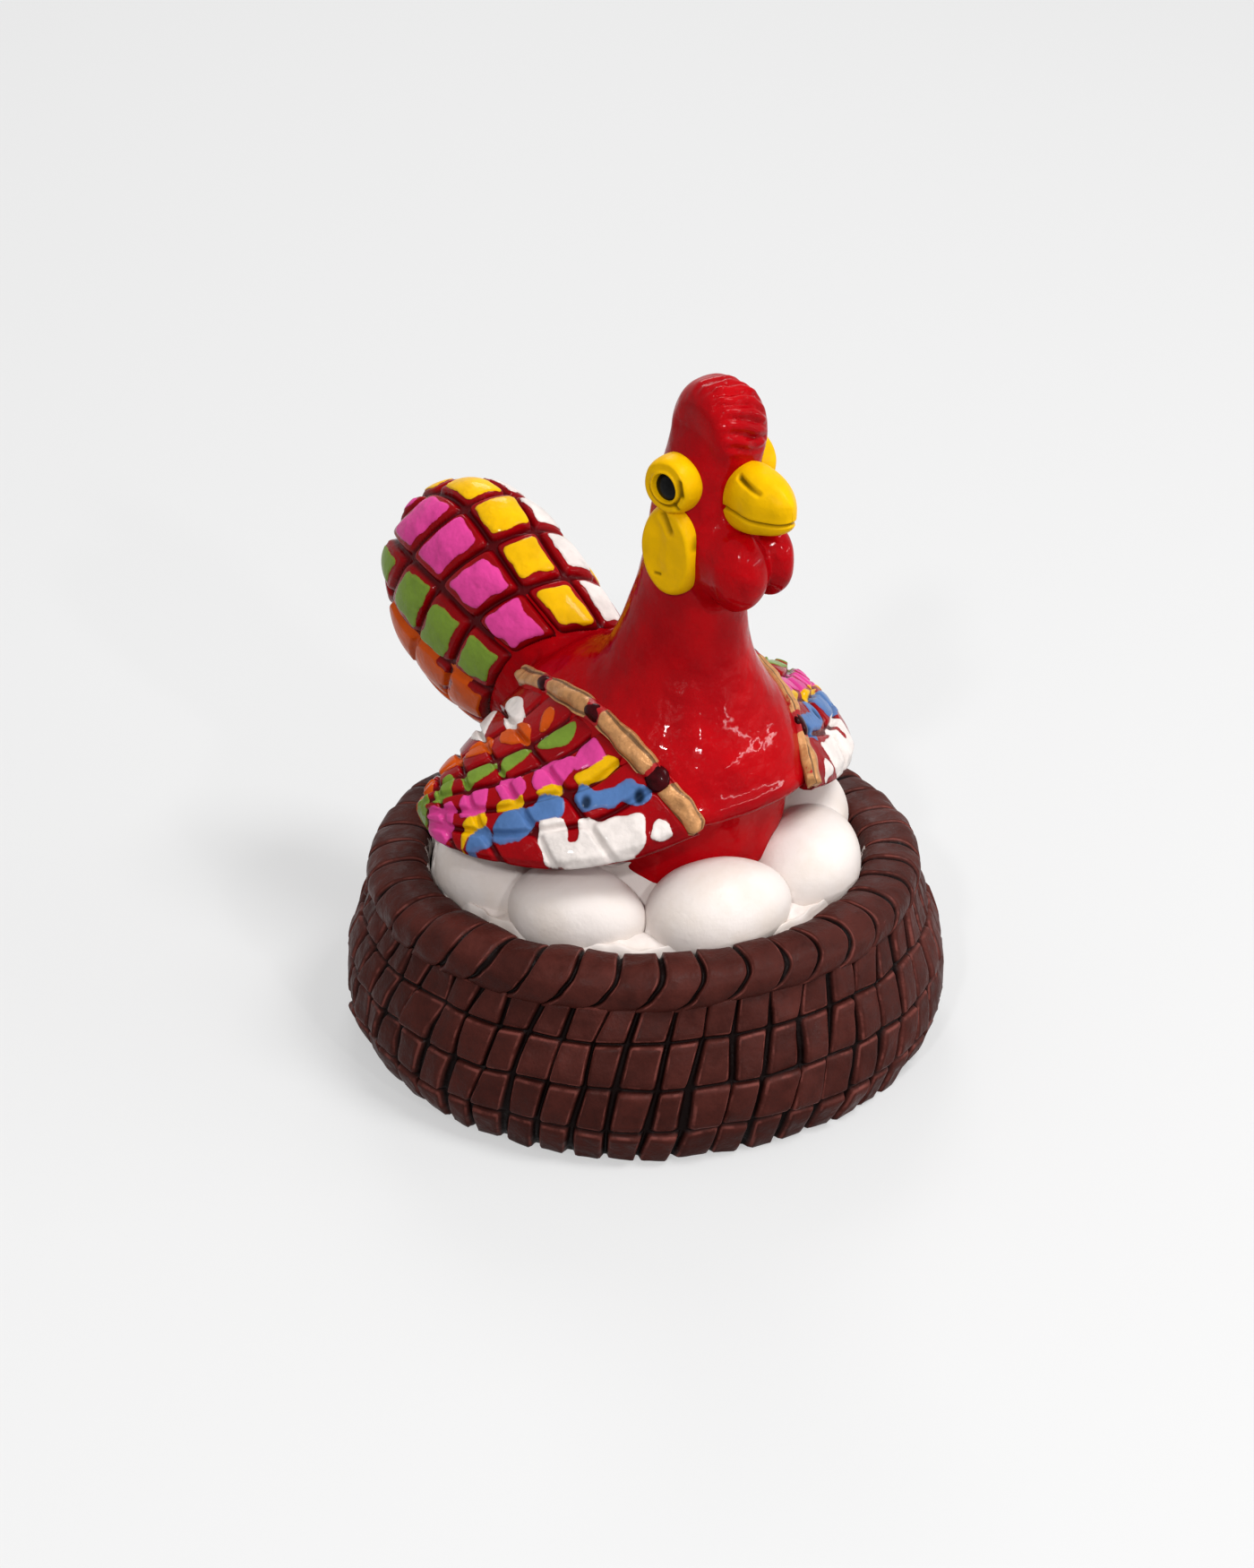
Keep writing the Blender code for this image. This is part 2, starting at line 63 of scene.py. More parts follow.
# The trunk's level sections: share of the way from ledge to crown, reach forwards and back and half width
# in millimetres, squareness
TRUNK = (
    (-0.20, 14.2, 11.5, 10.8, 2.4),
    (-0.02, 14.9, 12.2, 11.4, 2.6),
    (0.0, 16.6, 12.7, 11.8, 2.9),
    (0.03, 16.9, 12.8, 12.0, 2.9),
    (0.065, 16.3, 12.7, 11.75, 2.8),
    (0.13, 15.7, 12.5, 11.4, 2.6),
    (0.20, 14.5, 11.2, 10.6, 2.4),
    (0.255, 13.7, 8.1, 9.1, 2.2),
    (0.33, 12.7, 2.9, 7.0, 2.1),
    (0.385, 12.25, 1.35, 6.2, 2.1),
    (0.46, 12.1, -0.1, 5.35, 2.1),
    (0.54, 12.4, -1.35, 4.9, 2.1),
    (0.65, 12.6, -2.9, 4.7, 2.3),
    (0.76, 13.5, -3.9, 4.7, 2.5),
    (0.88, 13.8, -5.1, 4.6, 2.5),
    (0.95, 13.5, -5.8, 3.8, 2.5),
    (1.0, 12.4, -6.3, 2.4, 2.3),
)

# The tail's rings: share of its length, of its half depth, of its half width
TAIL = (
    (0.0, 0.55, 0.78),
    (0.12, 0.66, 0.84),
    (0.24, 0.80, 0.90),
    (0.345, 0.89, 0.95),
    (0.45, 0.96, 0.99),
    (0.555, 1.0, 1.0),
    (0.66, 0.99, 0.99),
    (0.76, 0.93, 0.94),
    (0.85, 0.80, 0.84),
    (0.93, 0.60, 0.68),
    (0.985, 0.32, 0.38),
    (0.995, 0.02, 0.02),
)
TAIL_ROOT = (0, 7.0, 32.3)

# The share of the tail's length that a row of its blocks takes
TAIL_ROW = 0.19

# The wattles and the throat between them: middle and half sizes, in millimetres
THROAT = {
    "wattle_right": ((-1.55, -14.75, 54.2), (2.85, 3.5, 3.95)),
    "wattle_left": ((2.3, -14.6, 54.5), (2.05, 3.3, 3.8)),
    "throat": ((-0.2, -12.3, 54.7), (4.6, 3.5, 4.7)),
}

# How far the discs of eyes and ear lobes turn forwards, and how deep the beak's root is in the head
DISC_TURN = math.radians(10)
BEAK_SUNK = 2.2 * MM

# The right wing's edges and its band, in millimetres
WING_FRONT = (
    (-7.4, -16.5, 29.4),
    (-13, -13.8, 27.6),
    (-18.6, -9.6, 26.6),
    (-22.2, -3.6, 26.4),
    (-23.4, 2.2, 26.2),
    (-21.9, 7.4, 26),
)
WING_BACK = ((-6.2, 9.6, 35.2), (-11, 10.2, 32), (-16.6, 9.8, 28.6), (-21.9, 7.4, 26))
BAND = (
    (-7.3, 10.0, 36.2),
    (-9.3, 2.5, 38.2),
    (-9.8, -4.5, 38.2),
    (-9.4, -10.1, 35.9),
    (-8.3, -14.0, 32.4),
    (-7.4, -16.6, 29.6),
)

# Where grooves cross the wing, as shares of the way from band to tip and from front edge to back edge
WING_COLUMN_LINES = (0.0, 0.26, 0.41, 0.56, 0.71, 0.86, 1.02)
WING_ROW_LINES = (-0.02, 0.15, 0.285, 0.43, 0.57, 0.74, 1.02)

# Dabs of paint on the right wing, as outlines seen from above, in millimetres
WING_DABS = (
    ("white", ((-13.5, 4.3), (-10.6, 7.6), (-9.9, 6.6), (-11.3, 4.2), (-12.9, 2.7))),
    ("white", ((-15.1, 6.2), (-13.4, 9.6), (-11.2, 9.6), (-11.6, 8.0))),
    ("orange", ((-15.2, 2.7), (-13.6, 4.4), (-12.7, 2.1), (-13.3, 0.8), (-14.3, 0.2))),
    ("orange", ((-12.8, -0.1), (-11.2, 1.1), (-10.5, 1.0), (-11.1, -0.2), (-12.3, -0.6))),
    ("orange", ((-17.7, 4.9), (-16.0, 6.3), (-14.7, 5.0), (-16.4, 3.2))),
    ("orange", ((-19.6, 7.0), (-17.4, 9.4), (-16.9, 7.3), (-18.7, 5.3))),
    ("orange", ((-22.7, 7.0), (-21.4, 8.2), (-19.9, 7.5), (-21.7, 5.6))),
    ("green", ((-14.1, -1.2), (-12.8, -1.1), (-11.5, -2.0), (-10.7, -2.7), (-12.0, -3.7), (-13.3, -2.8))),
    ("green", ((-17.9, -0.1), (-16.4, 0.9), (-14.7, -0.3), (-15.1, -1.1), (-16.6, -1.0))),
    ("green", ((-20.5, 2.1), (-19.4, 3.3), (-17.7, 2.0), (-17.1, 1.5), (-18.2, 0.6), (-20.0, 1.3))),
    ("green", ((-22.6, 4.2), (-21.2, 5.1), (-19.9, 4.8), (-20.8, 3.5), (-21.9, 3.1))),
    ("green", ((-22.4, 7.2), (-22.0, 5.6), (-22.9, 4.8), (-23.4, 5.2))),
    ("pink", ((-13.5, -5.9), (-12.3, -5.2), (-10.9, -5.2), (-10.8, -6.9), (-11.3, -7.5), (-12.6, -6.9))),
    ("pink", ((-17.0, -4.3), (-15.7, -3.0), (-14.0, -3.7), (-12.9, -5.2), (-13.5, -5.9), (-15.1, -5.6))),
    ("pink", ((-19.4, -1.8), (-18.3, -0.7), (-17.1, -1.9), (-17.5, -3.6), (-18.8, -3.2))),
    ("pink", ((-22.2, 0.4), (-21.2, 1.3), (-19.5, 0.3), (-20.5, -1.2), (-21.6, -0.7))),
    ("pink", ((-23.0, 4.6), (-22.6, 3.0), (-21.9, 1.8), (-22.7, 0.8), (-23.6, 1.2), (-23.7, 3.2))),
    (
        "yellow",
        (
            (-13.9, -6.4), (-12.6, -6.9), (-10.9, -7.7), (-10.4, -8.5),
            (-10.9, -8.9), (-12.8, -8.0), (-14.0, -7.2),
        ),
    ),
    ("yellow", ((-17.1, -4.7), (-16.4, -4.7), (-15.3, -5.6), (-15.6, -6.3))),
    ("yellow", ((-20.2, -2.6), (-19.7, -2.2), (-18.0, -3.5), (-18.7, -4.0))),
    ("yellow", ((-23.0, -1.0), (-22.3, -0.3), (-21.1, -1.3), (-21.2, -2.3), (-22.2, -1.5))),
    (
        "blue",
        (
            (-15.2, -8.0), (-14.4, -7.2), (-13.6, -7.4), (-13.2, -8.8), (-12.2, -9.5), (-10.8, -10.3),
            (-9.7, -11.8), (-9.7, -12.5), (-10.9, -12.3), (-11.9, -11.0), (-12.9, -10.5), (-14.8, -9.0),
        ),
    ),
    ("blue", ((-18.5, -5.9), (-17.1, -4.9), (-15.8, -6.3), (-16.6, -7.7))),
    ("blue", ((-21.5, -3.7), (-20.3, -3.0), (-18.8, -4.1), (-17.6, -5.6), (-18.6, -6.1), (-20.0, -5.8))),
    ("blue", ((-22.9, -1.6), (-22.1, -1.6), (-21.4, -2.7), (-22.0, -3.4))),
    (
        "white",
        (
            (-18.8, -6.8), (-18.0, -6.6), (-16.8, -7.7), (-16.8, -8.7), (-17.2, -9.4), (-16.5, -9.9),
            (-15.7, -9.1), (-15.1, -9.4), (-14.2, -10.5), (-12.2, -11.9), (-11.1, -12.8), (-11.8, -14.0),
            (-13.4, -13.6), (-15.3, -12.3), (-17.4, -10.9), (-18.9, -9.2), (-19.2, -7.9),
        ),
    ),
    ("white", ((-11.2, -14.2), (-10.5, -13.8), (-9.8, -14.3), (-9.5, -15.3))),
)
BLUE_DOTS = ((-14.4, -8.6), (-10.6, -11.8))
TAIL_PALETTE = ("pink", "yellow", "white", "yellow", "pink", "green", "orange", "orange", "orange", "green")
PAINT_NAMES = ("red", "white", "yellow", "pink", "green", "orange", "blue")

SIDES = ((1, "right"), (-1, "left"))


def length(name, millimetres, description):
    metres = millimetres * MM
    return FloatProperty(name=name, description=description, default=metres, unit="LENGTH", precision=5)


def share(name, value, description):
    return FloatProperty(name=name, description=description, default=value, min=0.0, subtype="FACTOR")


def angle(name, degrees, description):
    return FloatProperty(name=name, description=description, default=math.radians(degrees), subtype="ANGLE")


def count(name, value, description):
    return IntProperty(name=name, description=description, default=value, min=1)


def paint(name, value, description):
    limits = {"min": 0, "max": 1}
    return FloatVectorProperty(name=name, description=description, default=value, subtype="COLOR", **limits)


class HenPaints(bpy.types.PropertyGroup):
    red: paint("Red", (0.39, 0.0005, 0.003), "Gloss paint of the hen")
    # Deep red also serves as painted shade down in the feathers' grooves
    deep_red: paint("Deep red", (0.115, 0.0005, 0.003), "Red where the paint pools in grooves")
    white: paint("White", (0.715, 0.65, 0.615), "Eggs and white dabs")
    yellow: paint("Yellow", (0.80, 0.44, 0.001), "Eyes, ear lobes, beak and yellow dabs")
    pink: paint("Pink", (0.70, 0.055, 0.29), "Pink dabs")
    green: paint("Green", (0.18, 0.285, 0.032), "Green dabs")
    orange: paint("Orange", (0.60, 0.080, 0.003), "Orange dabs")
    blue: paint("Blue", (0.085, 0.185, 0.42), "Blue dabs")
    gold: paint("Gold", (0.50, 0.24, 0.09), "Bands along the wings")
    garnet: paint("Garnet", (0.030, 0.0008, 0.002), "Stones on the bands")
    black: paint("Black", (0.004, 0.004, 0.004), "Pupils")
    brown: paint("Brown", (0.070, 0.0158, 0.0118), "Nest")
    # Painted shade, laid down in the nest's grooves
    groove_shade: paint("Dark brown", (0.004, 0.0012, 0.001), "Nest, down in its grooves")


class HenNest(bpy.types.PropertyGroup):
    radius: length("Radius", 29.68, "Widest radius of the wall")
    wall_height: length("Wall height", 15.2, "From the base to the groove under the rim")
    shoulder_rise: length("Shoulder rise", 1.5, "How much higher the rim sits at the hen's left front")
    wall_stitches: count("Wall stitches", 52, "Stitches round the wall")
    rim_stitches: count("Rim stitches", 40, "Stitches round the rim")
    rim_outer: length("Rim outer radius", 27.6, "Outer radius of the rim's coil")
    rim_inner: length("Rim inner radius", 21.0, "Inner radius of the rim's coil")
    rim_top: length("Rim top", 19.7, "Height of the rim")
    lean: angle("Lean", 6.5, "How far a column of stitches turns from base to rim")
    groove: length("Groove width", 0.7, "Width of the grooves between stitches")
    relief: length("Relief", 0.85, "How far a stitch stands out of its groove")
    unevenness: length("Unevenness", 0.17, "How far stitches differ in height")
    seed: count("Seed", 4, "Changes the nest's irregularities")


class HenEggs(bpy.types.PropertyGroup):
    number: count("Eggs", 8, "Eggs in the ring")
    length: length("Length", 14.4, "From end to end")
    diameter: length("Diameter", 10.4, "Widest part")
    height: length("Height", 19.5, "Height of the eggs' middles")
    first: angle("First egg", 210.5, "Where the ring starts")
    unevenness: share("Unevenness", 0.06, "How far the eggs differ in size and place")


class HenBody(bpy.types.PropertyGroup):
    ledge: length("Ledge height", 29.4, "Height of the breast's lower edge")
    crown: length("Crown height", 67.5, "Top of the head under the comb")
    tail_length: length("Tail length", 30.44, "From root to tip")
    tail_depth: length("Tail half depth", 11.6, "Half of the fan's depth")
    tail_width: length("Tail half width", 7.0, "Half of the fan's width")
    tail_tilt: angle("Tail tilt", 15, "How far the tail's axis tips up")
    tail_columns: count("Tail columns", 10, "Columns of feather blocks round the tail")
    wing_dome: length("Wing dome", 5.2, "How far a wing bulges between its edges")
    groove: length("Feather groove", 0.62, "Width of the grooves between feather blocks")
    relief: length("Feather relief", 0.62, "How far a feather block stands out")
    coat: length("Paint thickness", 0.13, "Thickness of the coloured dabs")


class HenFace(bpy.types.PropertyGroup):
    eye_radius: length("Eye radius", 2.8, "Radius of the yellow eye disc")
    eye_height: length("Eye height", 62.05, "Height of the eyes")
    lobe_width: length("Ear lobe half width", 3.15, "Half of an ear lobe's width")
    lobe_height: length("Ear lobe half height", 4.6, "Half of an ear lobe's height")
    beak: length("Beak length", 6.9, "From the head to the beak's tip")


def palette(name):
    return tuple(getattr(bpy.context.scene.hen_paints, name))


def shaded(name, factor):
    """A paint made darker or lighter, by one factor or by three for its red, green and blue."""
    return tuple(np.array(palette(name)) * factor)


class Tree:
    """A node tree in the making."""

    def __init__(self, tree):
        self.tree = tree

    def put(self, socket, value):
        if isinstance(value, bpy.types.NodeSocket):
            self.tree.links.new(value, socket)
        elif socket.type == "RGBA" and len(value) == 3:
            socket.default_value = (*value, 1.0)
        else:
            socket.default_value = value

    def add(self, kind, inputs=None, **settings):
        node = self.tree.nodes.new(kind)
        for name, value in settings.items():
            setattr(node, name, value)
        for key, value in (inputs or {}).items():
            self.put(node.inputs[key], value)
        return node

    def math(self, operation, *values):
        return self.add("ShaderNodeMath", dict(enumerate(values)), operation=operation).outputs[0]

    def span(self, value, low, high, start=0.0, end=1.0):
        """Takes value from low..high to start..end, easing at both ends."""
        inputs = {"Value": value, "From Min": low, "From Max": high, "To Min": start, "To Max": end}
        return self.add("ShaderNodeMapRange", inputs, interpolation_type="SMOOTHSTEP").outputs["Result"]

    def blend(self, factor, first, second):
        return self.add("ShaderNodeMix", {0: factor, 6: first, 7: second}, data_type="RGBA").outputs[2]

    def tone(self, value, colour):
        """A colour made darker or lighter."""
        return self.add("ShaderNodeHueSaturation", {"Value": value, "Color": colour}).outputs[0]

    def place(self):
        return self.add("ShaderNodeTexCoord").outputs["Object"]

    def axes(self):
        """The place on the surface, as its x, y and z."""
        return self.add("ShaderNodeSeparateXYZ", {0: self.place()}).outputs

    def noise(self, size, detail=3.0, roughness=0.55):
        """Noise whose bumps are about size across."""
        inputs = {"Vector": self.place(), "Scale": 1 / size, "Detail": detail, "Roughness": roughness}
        return self.add("ShaderNodeTexNoise", inputs).outputs["Fac"]

    def attribute(self, name, output="Fac"):
        return self.add("ShaderNodeAttribute", attribute_name=name).outputs[output]

    def bump(self, height, distance, strength=1.0, before=None):
        node = self.add("ShaderNodeBump", {"Height": height, "Distance": distance, "Strength": strength})
        if before is not None:
            self.put(node.inputs["Normal"], before)
        return node.outputs["Normal"]

    def seen(self):
        """One where the camera, a reflection or clear glass shows a surface, nought where it only lights."""
        ray = self.add("ShaderNodeLightPath").outputs
        mirrored_ray = self.math("MAXIMUM", ray["Is Glossy Ray"], ray["Is Transmission Ray"])
        return self.math("MAXIMUM", ray["Is Camera Ray"], mirrored_ray)

    def store(self, geometry, name, value):
        """Keeps a value at each point of a mesh, for its material to read."""
        inputs = {"Geometry": geometry, "Name": name, "Value": value}
        made = self.add("GeometryNodeStoreNamedAttribute", inputs, data_type="FLOAT", domain="POINT")
        return made.outputs[0]

    def close(self, geometry, finish):
        """Ends a Geometry Nodes tree: a real mesh with its material."""
        real = self.add("GeometryNodeRealizeInstances", {"Geometry": geometry}).outputs[0]
        done = self.add("GeometryNodeSetMaterial", {"Geometry": real, "Material": finish}).outputs[0]
        self.add("NodeGroupOutput", {"Geometry": done})


def material(name):
    """A new material, its tree and its shader."""
    made = bpy.data.materials.new(name)
    made.use_nodes = True
    tree = Tree(made.node_tree)
    return made, tree, made.node_tree.nodes["Principled BSDF"]


def fill(tree, shader, **inputs):
    for name, value in inputs.items():
        tree.put(shader.inputs[name.replace("_", " ").title().replace("Ior", "IOR")], value)


def red_gloss(tree):
    """The hen's red: colour, roughness and normal."""
    cloud = tree.span(tree.noise(7 * MM, 2), 0.35, 0.7)
    colour = tree.blend(tree.math("MULTIPLY", cloud, 0.4), palette("red"), palette("deep_red"))
    roughness = tree.span(tree.noise(3 * MM, 3), 0.3, 0.75, 0.16, 0.32)
    dents = tree.bump(tree.noise(2.2 * MM, 2, 0.4), 0.5 * MM, 0.9)
    normal = tree.bump(tree.noise(0.7 * MM, 3), 0.14 * MM, 0.6, dents)
    return colour, roughness, normal


def red_material():
    """Red lacquer under a rippled coat, thinner at the back, where it would mirror the tail's bright dabs."""
    made, tree, shader = material("hen_red_gloss")
    colour, roughness, normal = red_gloss(tree)
    fill(tree, shader, base_color=colour, roughness=roughness, normal=normal, specular_ior_level=0.015)
    lacquer = tree.span(tree.axes()[1], -4.0 * MM, 1.5 * MM, 0.5, 0.05)
    ripple = tree.bump(tree.noise(0.95 * MM, 1, 0.4), 0.042 * MM)
    fill(tree, shader, coat_weight=lacquer, coat_roughness=0.05, coat_ior=1.2, coat_normal=ripple)
    return made


def feather_material():
    """Red with dabs of thick paint, whose edges lie where the attribute 'dab' crosses nought, and painted
    shade in the grooves between blocks.
    """
    made, tree, shader = material("hen_painted_feathers")
    colour, roughness, normal = red_gloss(tree)
    # Painted shade: darker red down in the grooves between the feather blocks.
    carved = tree.span(tree.attribute("carved"), 0.05, 0.8, 0.0, 0.6)
    colour = tree.blend(carved, shaded("deep_red", 0.6), colour)
    ragged = tree.math("MULTIPLY_ADD", tree.noise(1.3 * MM, 3, 0.55), 0.36 * MM, -0.18 * MM)
    edge = tree.math("ADD", tree.attribute("dab"), ragged)
    mask = tree.span(edge, -0.02 * MM, 0.04 * MM)
    brushed = tree.span(tree.noise(2.4 * MM, 3, 0.6), 0.35, 0.8, 1.0, 0.8)
    paint_colour = tree.tone(brushed, tree.attribute("tint", "Color"))
    cover = tree.math("MULTIPLY", mask, tree.span(edge, 0.0, 0.25 * MM, 0.88, 1.0))
    satin = tree.span(tree.noise(0.8 * MM), 0.3, 0.8, 0.34, 0.5)
    bare = tree.math("SUBTRACT", 1.0, mask)
    rough = tree.math("MULTIPLY_ADD", roughness, bare, tree.math("MULTIPLY", satin, mask))
    raised = tree.bump(mask, 0.10 * MM, 0.7, normal)
    normal = tree.bump(tree.noise(0.5 * MM, 3), 0.07 * MM, 0.5, raised)
    colour = tree.blend(cover, colour, paint_colour)
    fill(tree, shader, base_color=colour, roughness=rough, normal=normal, specular_ior_level=0.02)
    fill(tree, shader, coat_weight=0.4, coat_roughness=0.06, coat_ior=1.22)
    return made


def thick_paint(name, colour_name, rough=(0.28, 0.42), streak=0.75):
    """Opaque hand-laid paint with faint streaks, and painted shade that darkens it where the attribute
    'hollow' nears one.
    """
    made, tree, shader = material(name)
    colour = tree.tone(tree.span(tree.noise(2.2 * MM, 4, 0.6), 0.3, 0.75, 1.0, streak), palette(colour_name))
    # Painted shade in the grooves, nicks and slits.
    colour = tree.blend(tree.span(tree.attribute("hollow"), 0.0, 1.0), colour, shaded(colour_name, 0.25))
    soft = tree.bump(tree.noise(1.8 * MM, 3), 0.3 * MM, 0.35)
    normal = tree.bump(tree.noise(0.35 * MM, 2), 0.05 * MM, 0.4, soft)
    roughness = tree.span(tree.noise(1.2 * MM), 0.3, 0.7, *rough)
    fill(tree, shader, base_color=colour, roughness=roughness, normal=normal, specular_ior_level=0.04)
    return made


def egg_material():
    """Off-white paint, a little warmer in patches."""
    made, tree, shader = material("egg_white")
    warm = tree.span(tree.noise(5 * MM, 3), 0.35, 0.75)
    colour = tree.blend(warm, palette("white"), shaded("white", (0.93, 0.90, 0.86)))
    soft = tree.bump(tree.noise(2.4 * MM, 3), 0.3 * MM, 0.35)
    normal = tree.bump(tree.noise(0.4 * MM, 3), 0.06 * MM, 0.45, soft)
    roughness = tree.span(tree.noise(1.5 * MM), 0.3, 0.7, 0.32, 0.5)
    fill(tree, shader, base_color=colour, roughness=roughness, normal=normal, specular_ior_level=0.15)
    return made


def gold_material():
    """Gold brushed along the band, rubbed off to red round the stones, where 'dab' is under nought."""
    made, tree, shader = material("band_gold")
    red, _, normal = red_gloss(tree)
    streaks = tree.noise(0.9 * MM, 4, 0.7)
    gold = tree.blend(tree.span(streaks, 0.34, 0.6), shaded("gold", 0.72), palette("gold"))
    # Painted shade: gold darkened in the hollows between the ribs.
    gold = tree.tone(tree.span(tree.attribute("hollow"), 0.2, 0.9, 1.0, 0.34), gold)
    ragged = tree.math("MULTIPLY_ADD", tree.noise(0.9 * MM, 3), 0.8 * MM, -0.4 * MM)
    mask = tree.span(tree.math("ADD", tree.attribute("dab"), ragged), -0.02 * MM, 0.05 * MM)
    roughness = tree.span(streaks, 0.3, 0.7, 0.5, 0.3)
    grain = tree.bump(tree.noise(0.4 * MM, 3), 0.08 * MM, 0.6, normal)
    fill(tree, shader, base_color=tree.blend(mask, red, gold), roughness=roughness, normal=grain)
    fill(tree, shader, metallic=tree.math("MULTIPLY", mask, 0.25), specular_ior_level=0.25)
    return made


def glassy_material(name, colour_name):
    """Dark gloss lacquer, for the stones and the pupils."""
    made, tree, shader = material(name)
    colour = tree.tone(tree.span(tree.noise(0.8 * MM), 0.3, 0.7, 0.6, 1.5), palette(colour_name))
    normal = tree.bump(tree.noise(0.6 * MM, 2), 0.1 * MM, 0.4)
    fill(tree, shader, base_color=colour, roughness=0.3, normal=normal, specular_ior_level=0.03)
    fill(tree, shader, coat_weight=0.2, coat_ior=1.25)
    return made


def nest_material():
    """Brown stitches with a painted highlight along their raised edges, grooves darkened by painted shade,
    and white paint that ran over the rim's inner edge.
    """
    made, tree, shader = material("nest_brown")
    depth = tree.attribute("carved")
    mottle = tree.math("MULTIPLY_ADD", tree.noise(2.2 * MM, 4, 0.65), 0.9, 0.25)
    stitch = tree.math("MULTIPLY_ADD", tree.attribute("stitch_tone"), 0.4, 0.8)
    brown = tree.tone(tree.math("MULTIPLY", stitch, mottle), palette("brown"))
    # Painted highlight: lighter brown in patches along the stitches' raised edges.
    edge = tree.math("MULTIPLY", tree.span(depth, 0.62, 0.78), tree.span(depth, 0.99, 0.86))
    edge_highlight = tree.math("MULTIPLY", edge, tree.span(tree.noise(1.7 * MM, 3), 0.42, 0.62, 0.15, 0.9))
    colour = tree.blend(edge_highlight, brown, shaded("brown", (2.2, 2.7, 2.9)))
    # Painted shade: near-black brown down in the grooves between the stitches.
    colour = tree.blend(tree.span(depth, 0.2, 0.7), palette("groove_shade"), colour)
    x, y, z = tree.axes()
    radius = tree.math("SQRT", tree.math("ADD", tree.math("MULTIPLY", x, x), tree.math("MULTIPLY", y, y)))
    run = tree.math("MULTIPLY_ADD", tree.noise(1.6 * MM, 3, 0.6), -2.0 * MM, radius)
    inside = tree.span(run, 20.6 * MM, 20.5 * MM)
    white = tree.math("MULTIPLY", inside, tree.span(z, 16.5 * MM, 17.0 * MM))
    roughness = tree.span(tree.noise(1.1 * MM, 4), 0.3, 0.75, 0.36, 0.62)
    soft = tree.bump(tree.noise(1.6 * MM, 3), 0.35 * MM, 0.5)
    grain = tree.bump(tree.noise(0.3 * MM, 3), 0.06 * MM, 0.6, soft)
    normal = tree.bump(white, 0.15 * MM, 0.8, grain)
    colour = tree.blend(white, colour, palette("white"))
    fill(tree, shader, base_color=colour, roughness=roughness, normal=normal, specular_ior_level=0.06)
    return made


def wobble(points, size, seed, waves=14):
    """Soft noise from about -1 to 1, with bumps about size across."""
    random = np.random.default_rng(seed)
    ways = random.normal(size=(waves, 3))
    ways *= 2 * np.pi / size * random.uniform(0.5, 1.3, (waves, 1)) / np.linalg.norm(ways, axis=1)[:, None]
    phase = random.uniform(0, 2 * np.pi, waves)
    return np.sin(points @ ways.T + phase).sum(-1) / waves**0.5 / 1.2


def ease(value, low, high):
    t = np.clip((value - low) / (high - low), 0, 1)
    return t * t * (3 - 2 * t)


def rounded(value, power):
    """A sine or cosine pressed towards a square corner by a power over 2."""
    return np.sign(value) * np.abs(value) ** (2 / power)


def between(p0, p1, p2, p3, f):
    """A smooth curve at each share f of the way from p1 to p2, as it comes from p0 and goes on to p3."""
    square, cube = 2 * p0 - 5 * p1 + 4 * p2 - p3, 3 * p1 - p0 - 3 * p2 + p3
    return 0.5 * (2 * p1 + (p2 - p0) * f + square * f**2 + cube * f**3)


def through(points, t):
    """A smooth curve through the points, at each t from 0 to 1."""
    points = np.asarray(points, float)
    padded = np.vstack((2 * points[0] - points[1], points, 2 * points[-1] - points[-2]))
    place = np.clip(t, 0, 1) * (len(points) - 1)
    i = np.minimum(place.astype(int), len(points) - 2)
    return between(*(padded[i + k] for k in range(4)), (place - i)[..., None])


def profile(values, t):
    """A smooth curve through plain numbers, at each t from 0 to 1."""
    return through([(value,) for value in values], t)[:, 0]


def slowing(start, turn, end, even, eased):
    """Steps from start to end: even ones as far as turn, then ever smaller ones."""
    rest = np.sin(np.linspace(0, np.pi / 2, eased)[1:])
    return np.concatenate((np.linspace(start, turn, even), turn + (end - turn) * rest))


def round_steps(number):
    """Angles that part a full turn evenly."""
    return np.linspace(0, 2 * np.pi, number, endpoint=False)


def polar(radius, theta, z):
    """Points at a radius and an angle round the upright axis."""
    return np.stack((radius * np.cos(theta), radius * np.sin(theta), z), axis=-1)


def unit_ball(rows, columns):
    """Rows of points round a ball of radius one, from its foot to its top."""
    t = np.linspace(0.01, 0.99, rows)[:, None] * np.pi
    a = round_steps(columns)
    return polar(np.sin(t), a, -np.cos(t) + 0 * a)


def normal_to(first, second, outside):
    """Unit normals to two ways along a surface, on the side that outside points to."""
    normal = np.cross(first, second)
    normal /= np.maximum(np.linalg.norm(normal, axis=-1, keepdims=True), 1e-12)
    return -normal if (normal * outside).sum() < 0 else normal


def lift(points, height, centre):
    """Moves a grid of points, whose columns close on themselves, along its normals away from centre."""
    around = np.roll(points, -1, axis=1) - np.roll(points, 1, axis=1)
    return points + normal_to(around, np.gradient(points, axis=0), points - centre) * height[..., None]


def new_object(name, mesh):
    made = bpy.data.objects.new(name, mesh)
    bpy.context.scene.collection.objects.link(made)
    return made


def object_of(name, points, faces, attributes):
    """An object over a grid of points, with what is stored at each of them."""
    mesh = bpy.data.meshes.new(name)
    mesh.from_pydata(points.reshape(-1, 3).tolist(), [], faces)
    for key, values in attributes.items():
        kind, field = ("FLOAT_COLOR", "color") if values.ndim == 3 else ("FLOAT", "value")
        mesh.attributes.new(key, kind, "POINT").data.foreach_set(field, values.astype(np.float32).ravel())
    outward(mesh)
    return new_object(name, mesh)


